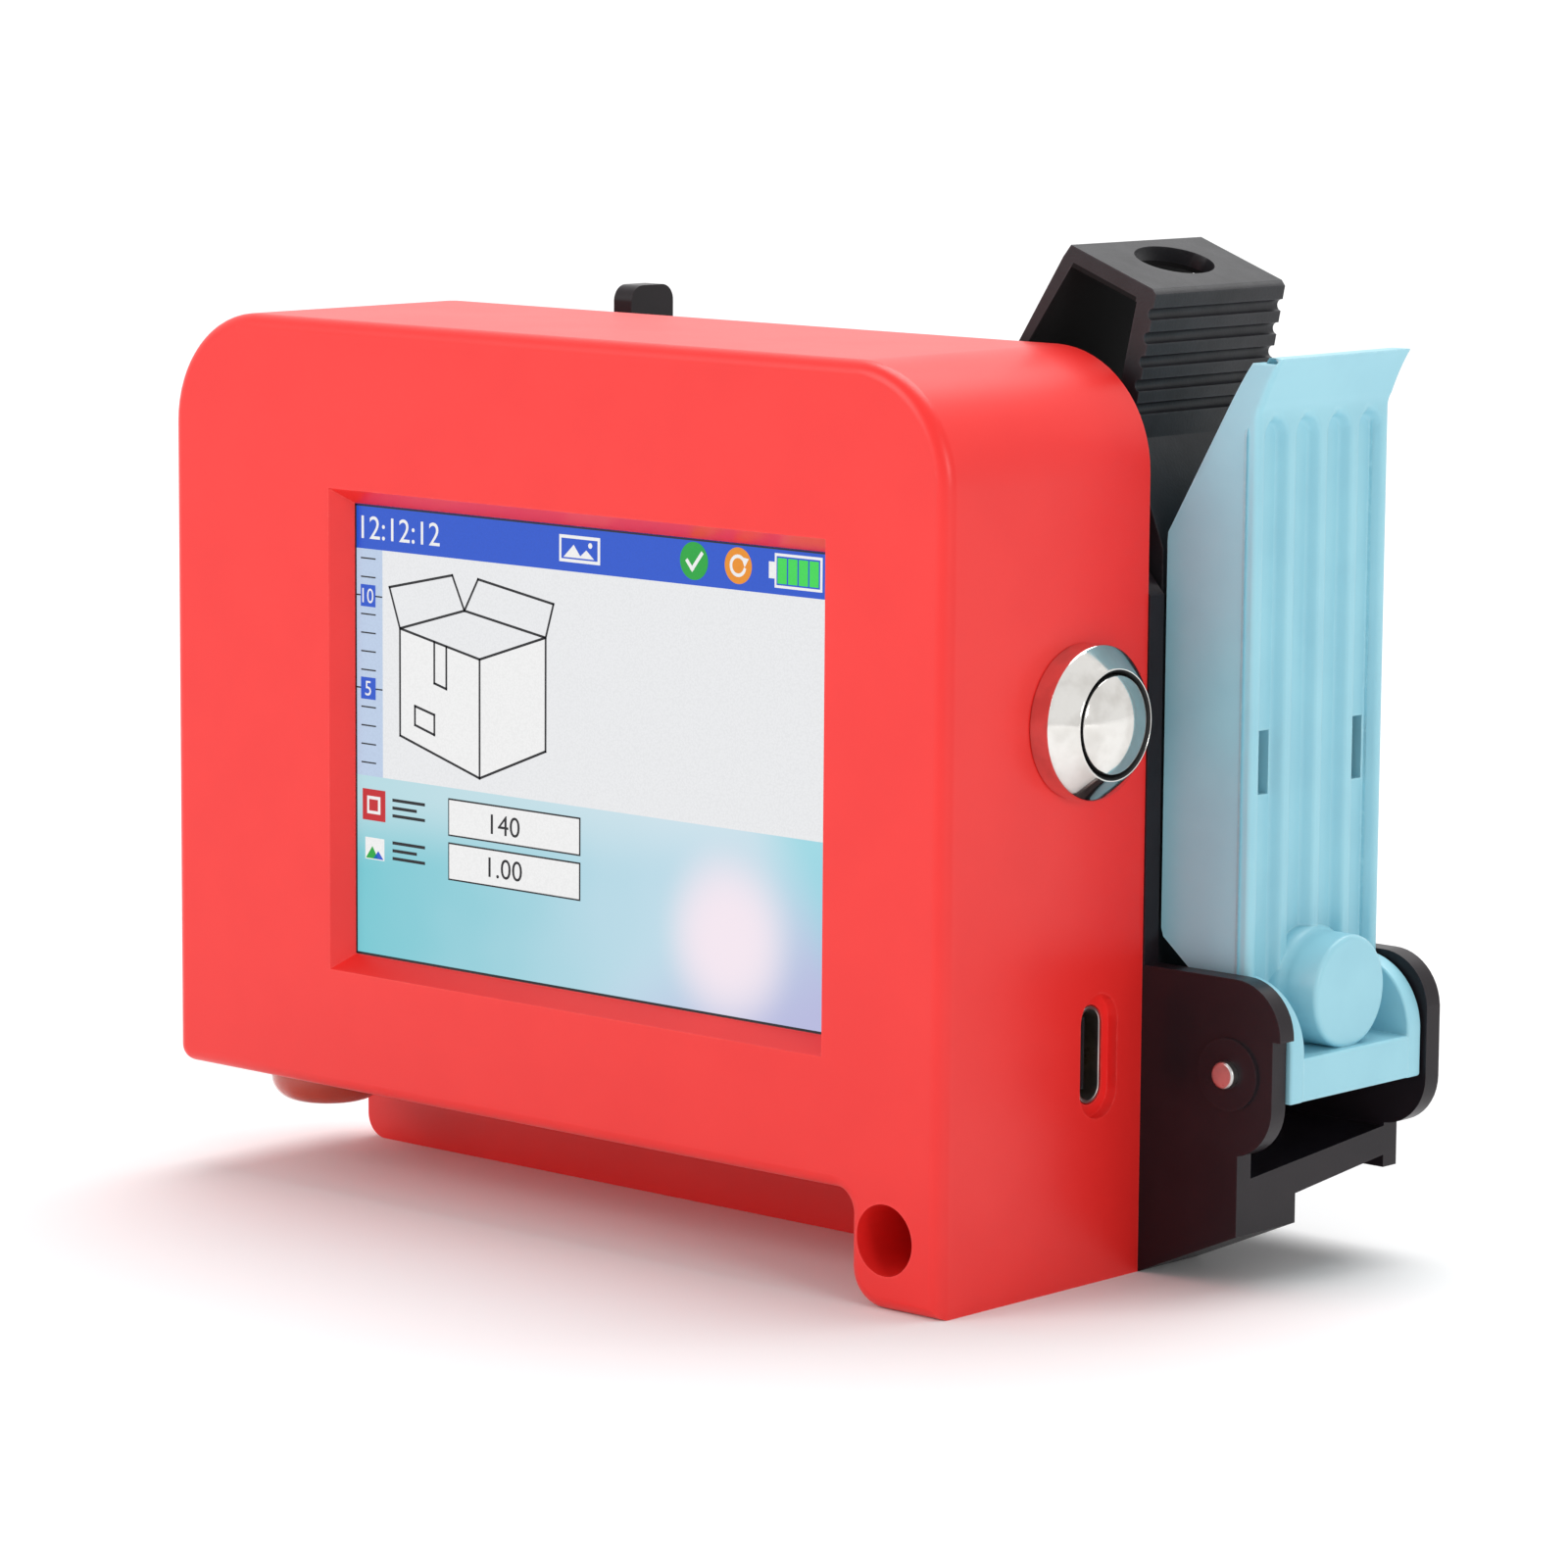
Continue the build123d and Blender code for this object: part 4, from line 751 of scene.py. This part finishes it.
def makeButton(shape):
    centre = ((bezelLow.y + bezelHigh.y) / 2, (bezelLow.z + bezelHigh.z) / 2)
    radius = (bezelHigh.y - bezelLow.y) / 2
    case = bezelHigh.x - shape["face"]
    top, rim = bezelHigh.x, case + shape["rim"]
    work = bmesh.new()
    bore, groove, counterbore = shape["bore"], shape["groove"], shape["counterbore"]
    shoulder = case - shape["shoulder"]
    profile = [(bezelLow.x, counterbore, 0), (bezelLow.x, shape["barrel"], 0), (case, shape["barrel"], 0)]
    profile += [(case + past, radius - inward, 0) for past, inward in shape["rimFoot"]]
    profile += [(rim + past, radius - inward, 0) for past, inward in shape["rimRound"]]
    profile += [(top - below, groove + outward, 0) for below, outward in shape["lipRound"]]
    below, outward = shape["grooveStart"]
    profile += [(top - below, groove + outward, 1), (top - shape["grooveDepth"], bore, 1)]
    profile += [(shoulder, bore, 1), (shoulder, counterbore, 1), (bezelLow.x, counterbore, 1)]
    addTurned(work, profile, centre, shape["steps"])
    bmesh.ops.remove_doubles(work, verts=work.verts, dist=0.001 * mm)
    bmesh.ops.recalc_face_normals(work, faces=work.faces)
    mesh = roundEdges(meshOf(work), shape["edge"], 40, 1)
    finish = [looks["chrome"], looks["shadow"]]
    pieceFrom("buttonBezel", mesh, finish, "case", ["button_bezel"])

    work = bmesh.new()
    crown, dome = shape["crown"], shape["dome"]
    ball = (crown ** 2 + dome ** 2) / (2 * dome)
    stem, flange, plunger = shape["stem"], shape["flange"], shape["plunger"]
    stemEnd = plungerLow.x + shape["stemLength"]
    profile = [(plungerLow.x, 0, 1), (plungerLow.x, stem, 1), (stemEnd, stem, 1), (stemEnd, flange, 1)]
    profile += [(shoulder, flange, 1), (shoulder, plunger, 1), (top - shape["plungerRise"], plunger, 1)]
    profile += [(top - below, plunger - inward, 0) for below, inward in shape["plungerSide"]]
    steps = shape["domeSteps"]
    for step in range(steps + 1):
        reach = crown * cos(pi / 2 * step / steps)
        profile.append((plungerHigh.x - ball + sqrt(ball ** 2 - reach ** 2), reach if step < steps else 0, 0))
    addTurned(work, profile, centre, shape["steps"])
    bmesh.ops.recalc_face_normals(work, faces=work.faces)
    mesh = roundEdges(meshOf(work), shape["edge"], 40, 1)
    pieceFrom("buttonCrown", mesh, finish, "trigger", ["button_plunger"])


makeButton(buttonShape)
print("button made")


# contacts on both faces of the charging socket's tongue
contactShape = {"count": 12, "pitch": 0.5, "width": 0.26, "thick": 0.03, "margin": 0.5}


def makeContacts(shape):
    low, high = boxOf("socket_tongue")
    middle = (low + high) / 2
    first = middle.z - shape["pitch"] * (shape["count"] - 1) / 2
    size = ((high.x - low.x - shape["margin"]) * mm, shape["thick"] * mm, shape["width"] * mm)
    step = (0, 0, shape["pitch"] * mm)
    for name, depth in (("contactsFront", low.y), ("contactsBack", high.y)):
        makeRow(name, looks["gold"], "case", shape["count"], at(middle.x, depth, first), step, size)


makeContacts(contactShape)
print("contacts made")


# soft edged copies of the moulded parts
softEdges = {
    "front_shell": ("caseShell", "case", 0.22),
    "rear_cover": ("rearCover", "case", 0.2),
    "stall_body": ("stallBody", "case", 0.28),
    "contact_cover": ("contactCover", "case", 0.25),
    "cartridge_body": ("cartridgeBody", "cartridge", 0.18),
    "socket_shell": ("socketShell", "case", 0.08),
    "latch_pin": ("latchPin", "case", 0.4),
}


def makeSoftCopies(settings):
    for node, (name, body, width) in settings.items():
        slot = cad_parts[node].material_slots[0].material.name.split(".")[0]
        pieceFrom(name, softCopy(node, width), [looks[slot]], body, [node])


makeSoftCopies(softEdges)
print("moulded parts softened")


# screen: cover glass with a lit picture just in front of it
glassLow, glassHigh = boxOf("touch_panel")
margin = 2.2  # from the edge of the glass to the picture
screenShape = {
    "left": glassLow.x + margin, "width": glassHigh.x - glassLow.x - 2 * margin,
    "top": glassHigh.z - margin, "height": glassHigh.z - glassLow.z - 2 * margin,
    "front": glassLow.y - 0.04, "layer": 0.03,
    "header": 4.2, "ruler": 3.6, "paper": 25.9, "edge": 0.22, "line": 0.16, "stroke": 0.24,
    "blue": srgb(34, 88, 212), "white": srgb(250, 250, 250), "grey": srgb(243, 244, 246),
    "strip": srgb(196, 214, 240), "ink": srgb(24, 24, 28), "green": srgb(28, 172, 62),
    "cell": srgb(64, 224, 88), "orange": srgb(244, 150, 30), "red": srgb(206, 28, 36), "glow": 0.9,
    "cells": 4, "cellPitch": 1.27, "cellSize": (1.1, 0.01, 2.3),
    "ticks": 12, "tickPitch": 1.775, "tickSize": (2.0, 0.01, 0.14),
    "glowMiddle": (48.2, 36.0), "glowReach": (10.5, 11.5),
}


def shineLook(name, colour, strength):
    # a lit colour, with the fine dots of the display
    look = Look(name)
    dots = look.cells(0.2).rise(0.1, 0.9)
    smears = look.noise(7, 3)
    look.surface(
        Base_Color=srgb(10, 10, 12),
        Emission_Color=look.blend(0.06 * dots, colour, (0, 0, 0, 1)),
        Emission_Strength=strength,
        Roughness=0.12 + 0.1 * smears,
        Specular_IOR_Level=0.25,
    )
    return look


def skyLook(name, shape):
    # the lower half of the picture runs from teal through white to lavender, with a pink glow
    look = Look(name)
    corner = at(shape["left"], shape["front"], shape["top"])
    across, _, drop = look.axes(corner)
    smears = look.noise(7, 3)
    down = 0 - drop
    waves = look.noise(16, 2)
    paler = (across * 0.016 + waves * 0.3 - 0.1).rise(0.0, 0.8)
    colour = look.blend(paler, srgb(118, 205, 216), srgb(196, 226, 240))
    pale = (down * (-0.13) + 4.6 - across * 0.012).rise(0.0, 1.0)
    colour = look.blend(pale * 0.55, colour, srgb(226, 240, 246))
    lavender = (across * 0.03 + down * 0.05 - 3.0).rise(0.0, 0.9)
    colour = look.blend(lavender * 0.75, colour, srgb(186, 178, 226))
    cyan = (across * 0.12 + down * (-0.08) - 3.9).rise(0.0, 1.0)
    colour = look.blend(cyan * 0.7, colour, srgb(140, 220, 232))
    (middle, low), (wide, tall) = shape["glowMiddle"], shape["glowReach"]
    away = ((across - middle) / wide) ** 2 + ((down - low) / tall) ** 2
    colour = look.blend((1 - away.rise(0.0, 1.0)) ** 2.2, colour, srgb(252, 238, 248))
    look.surface(
        Base_Color=srgb(10, 10, 12),
        Emission_Color=colour,
        Emission_Strength=shape["glow"],
        Roughness=0.12 + 0.1 * smears,
        Specular_IOR_Level=0.25,
    )
    return look


def addOutline(work, shape, layer, outline, look):
    # outline holds millimetres from the window's top left corner, right and down
    depth = shape["front"] - shape["layer"] * layer
    corners = [work.verts.new(at(shape["left"] + u, depth, shape["top"] - v)) for u, v in outline]
    face = work.faces.new(corners)
    face.material_index = look
    face.normal_update()
    if face.normal.y > 0:
        face.normal_flip()


def boxOutline(left, top, right, bottom):
    return [(left, top), (right, top), (right, bottom), (left, bottom)]


def pointOn(middle, radius, angle):
    return (middle[0] + radius * cos(angle), middle[1] + radius * sin(angle))


def discOutline(middle, radius, steps=40):
    return [pointOn(middle, radius, 2 * pi * step / steps) for step in range(steps)]


def addStroke(work, shape, layer, points, look, width):
    # a line of even width through the points
    for (x1, y1), (x2, y2) in zip(points, points[1:]):
        length = sqrt((x2 - x1) ** 2 + (y2 - y1) ** 2)
        dx, dy = (x2 - x1) / length * width / 2, (y2 - y1) / length * width / 2
        x1, y1, x2, y2 = x1 - dx, y1 - dy, x2 + dx, y2 + dy
        outline = [(x1 - dy, y1 + dx), (x2 - dy, y2 + dx), (x2 + dy, y2 - dx), (x1 + dy, y1 - dx)]
        addOutline(work, shape, layer, outline, look)


def addNumber(work, shape, layer, words, box, look):
    # digits from the built-in font, fitted to a box
    text = bpy.data.curves.new("work", "FONT")
    text.body = words
    text.resolution_u = 4
    holder = linked(bpy.data.objects.new("work", text))
    flat = finishedMesh(holder)
    xs = [vertex.co.x for vertex in flat.vertices]
    ys = [vertex.co.y for vertex in flat.vertices]
    left, top, right, bottom = box
    places = []
    for vertex in flat.vertices:
        u = left + (vertex.co.x - min(xs)) / (max(xs) - min(xs)) * (right - left)
        v = bottom - (vertex.co.y - min(ys)) / (max(ys) - min(ys)) * (bottom - top)
        places.append((u, v))
    for polygon in flat.polygons:
        addOutline(work, shape, layer, [places[index] for index in polygon.vertices], look)
    bpy.data.meshes.remove(flat)


def makeScreen(shape):
    names = ("blue", "white", "grey", "strip", "ink", "green", "cell", "orange", "red")
    shines = [shineLook("lit_" + name, shape[name], shape["glow"]) for name in names]
    shines.append(skyLook("lit_sky", shape))
    blue, white, grey, strip, ink, green, cell, orange, red, sky = range(10)
    wide, tall, line, edge = shape["width"], shape["height"], shape["line"], shape["edge"]
    header, ruler, paper = shape["header"], shape["ruler"], shape["paper"]
    work = bmesh.new()

    def area(layer, look, *edges):
        addOutline(work, shape, layer, boxOutline(*edges), look)

    area(0, sky, 0, paper, wide, tall)
    area(0, blue, 0, 0, wide, header)
    area(0, grey, ruler, header, wide, paper)
    area(0, strip, 0, header, ruler, paper)
    addNumber(work, shape, 1, "12:12:12", (0.8, 1.05, 11.3, 3.25), white)
    # header icons: a picture frame, a tick, an arrow and a battery
    area(1, white, 26.9, 0.85, 32.1, 3.35)
    area(2, blue, 27.2, 1.15, 31.8, 3.05)
    addOutline(work, shape, 3, [(27.5, 2.9), (28.8, 1.7), (29.8, 2.9)], white)
    addOutline(work, shape, 3, [(29.4, 2.9), (30.4, 2.1), (31.4, 2.9)], white)
    addOutline(work, shape, 3, discOutline((30.9, 1.65), 0.26, 20), white)
    addOutline(work, shape, 1, discOutline((43.8, 2.0), 1.73), green)
    addStroke(work, shape, 2, [(43.0, 2.05), (43.6, 2.75), (44.75, 1.3)], white, 0.36)
    addOutline(work, shape, 1, discOutline((49.2, 2.0), 1.65), orange)
    ring = [pointOn((49.2, 2.0), 0.85, radians(20 + 14 * step)) for step in range(22)]
    addStroke(work, shape, 2, ring, white, 0.3)
    addOutline(work, shape, 2, [(49.6, 1.2), (50.5, 1.3), (50.0, 2.1)], white)
    area(1, white, 52.9, 1.3, 53.9, 2.8)
    area(1, white, 53.6, 0.5, 59.3, 3.6)
    area(2, blue, 53.85, 0.75, 59.05, 3.35)
    size = [side * mm for side in shape["cellSize"]]
    start = at(shape["left"] + 54.55, shape["front"] - 3 * shape["layer"], shape["top"] - 2.05)
    step = (shape["cellPitch"] * mm, 0, 0)
    makeRow("batteryCells", shines[cell], "case", shape["cells"], start, step, size)
    # ruler
    size = [side * mm for side in shape["tickSize"]]
    start = at(shape["left"] + 1.7, shape["front"] - shape["layer"], shape["top"] - 5.1)
    step = (0, 0, -shape["tickPitch"] * mm)
    makeRow("rulerTicks", shines[ink], "case", shape["ticks"], start, step, size)
    for v, words, box in ((8.65, "10", (0.95, 7.95, 2.45, 9.35)), (17.5, "5", (1.3, 16.8, 2.1, 18.2))):
        area(1, ink, 0, v - 0.07, ruler, v + 0.07)
        area(2, blue, 0.7, v - 1.05, 2.7, v + 1.05)
        addNumber(work, shape, 3, words, box, white)
    # a line drawing of a carton in the picture area
    front = [(6.0, 11.4), (16.6, 13.4), (16.6, 24.6), (6.0, 21.6), (6.0, 11.4)]
    side = [(16.6, 13.4), (25.2, 10.6), (25.2, 21.2), (16.6, 24.6)]
    lid = [(6.0, 11.4), (14.6, 9.0), (25.2, 10.6)]
    leftFlap = [(6.0, 11.4), (4.6, 7.6), (13.0, 5.8), (14.6, 9.0)]
    rightFlap = [(25.2, 10.6), (26.2, 7.4), (16.4, 5.9), (14.6, 9.0)]
    tape = [(10.6, 12.3), (10.6, 16.2), (12.2, 16.6), (12.2, 12.6)]
    label = [(8.0, 18.6), (8.0, 20.4), (10.6, 21.1), (10.6, 19.2), (8.0, 18.6)]
    addOutline(work, shape, 1, front[:4], white)
    addOutline(work, shape, 1, side, white)
    for points in (front, side, lid, leftFlap, rightFlap, tape, label):
        addStroke(work, shape, 2, points, ink, shape["stroke"])
    # dark edge round the whole picture
    area(4, ink, 0, 0, edge, tall)
    area(4, ink, wide - edge, 0, wide, tall)
    area(4, ink, 0, tall - edge, wide, tall)
    area(4, ink, 0, 0, wide, line)
    # settings under the picture
    area(1, red, 0.85, 27.15, 3.95, 30.15)
    area(2, white, 1.5, 27.8, 3.3, 29.5)
    area(3, red, 1.8, 28.1, 3.0, 29.2)
    area(1, white, 1.2, 31.8, 3.8, 33.9)
    addOutline(work, shape, 2, [(1.3, 33.8), (2.2, 32.6), (3.0, 33.8)], green)
    addOutline(work, shape, 2, [(2.3, 33.8), (3.0, 33.0), (3.7, 33.8)], blue)
    for low in (27.75, 31.85):
        for row in range(3):
            area(1, ink, 4.9, low + 0.75 * row, 9.3 - 1.1 * (row % 2), low + 0.75 * row + 0.3)
    for top, bottom, words, box in (
        (26.9, 30.5, "140", (18.1, 27.8, 21.9, 29.7)),
        (31.1, 34.7, "1.00", (17.8, 31.9, 22.2, 33.8)),
    ):
        area(1, ink, 12.4, top, 29.7, bottom)
        area(2, white, 12.4 + line, top + line, 29.7 - line, bottom - line)
        addNumber(work, shape, 3, words, box, ink)
    mesh = meshOf(work, smooth=False)
    pieceFrom("displayPicture", mesh, shines, "case")
    glass = softCopy("touch_panel", 0.15)
    pieceFrom("touchGlass", glass, [looks["glass"]], "case", ["touch_panel"])


makeScreen(screenShape)
print("screen picture made")


# floor and light
studio = {
    "floor": srgb(240, 240, 240), "cloud": srgb(236, 236, 237), "width": 14.0,
    "soft": 0.5, "bright": 1.0, "aim": (0, 0, 0.04),
    "key": {"place": (-0.5, -1.1, 0.6), "size": 0.7, "power": 6.0},
    "side": {"place": (1.2, -0.35, 0.4), "size": 0.3, "power": 3.0},
    "sky": {"place": (-0.1, 0.35, 0.95), "spread": 50, "power": 2.5},
}


def makeStudio(settings):
    half = settings["width"] / 2
    floor = bpy.data.meshes.new("floor")
    corners = [(-half, -half, 0), (half, -half, 0), (half, half, 0), (-half, half, 0)]
    floor.from_pydata(corners, [], [(0, 1, 2, 3)])
    look = Look("floor")
    cloud = look.noise(120, 2)
    look.surface(
        Base_Color=look.blend(cloud, settings["floor"], settings["cloud"]),
        Roughness=0.9 + 0.05 * cloud,
    )
    floor.materials.append(look.material)
    linked(bpy.data.objects.new("floor", floor))
    # a white room that lights softly, and looks brighter than it lights
    world = bpy.data.worlds.new("studio")
    world.use_nodes = True
    nodes, links = world.node_tree.nodes, world.node_tree.links
    soft = nodes["Background"]
    soft.inputs["Color"].default_value = (1, 1, 1, 1)
    soft.inputs["Strength"].default_value = settings["soft"]
    bright = nodes.new("ShaderNodeBackground")
    bright.inputs["Color"].default_value = (1, 1, 1, 1)
    bright.inputs["Strength"].default_value = settings["bright"]
    mix = nodes.new("ShaderNodeMixShader")
    ray = nodes.new("ShaderNodeLightPath")
    links.new(ray.outputs["Is Diffuse Ray"], mix.inputs[0])
    links.new(bright.outputs[0], mix.inputs[1])
    links.new(soft.outputs[0], mix.inputs[2])
    links.new(mix.outputs[0], nodes["World Output"].inputs[0])
    scene.world = world
    for name in ("key", "side", "sky"):
        light = settings[name]
        made = bpy.data.lights.new(name, "SUN" if "spread" in light else "AREA")
        if "spread" in light:
            made.angle = radians(light["spread"])
        else:
            made.size = light["size"]
        made.energy = light["power"]
        lamp = linked(bpy.data.objects.new(name, made))
        lamp.location = light["place"]
        aim = Vector(settings["aim"]) - lamp.location
        lamp.rotation_euler = aim.to_track_quat("-Z", "Y").to_euler()
    scene.view_settings.view_transform = "Standard"


makeStudio(studio)
print("floor and lights set")
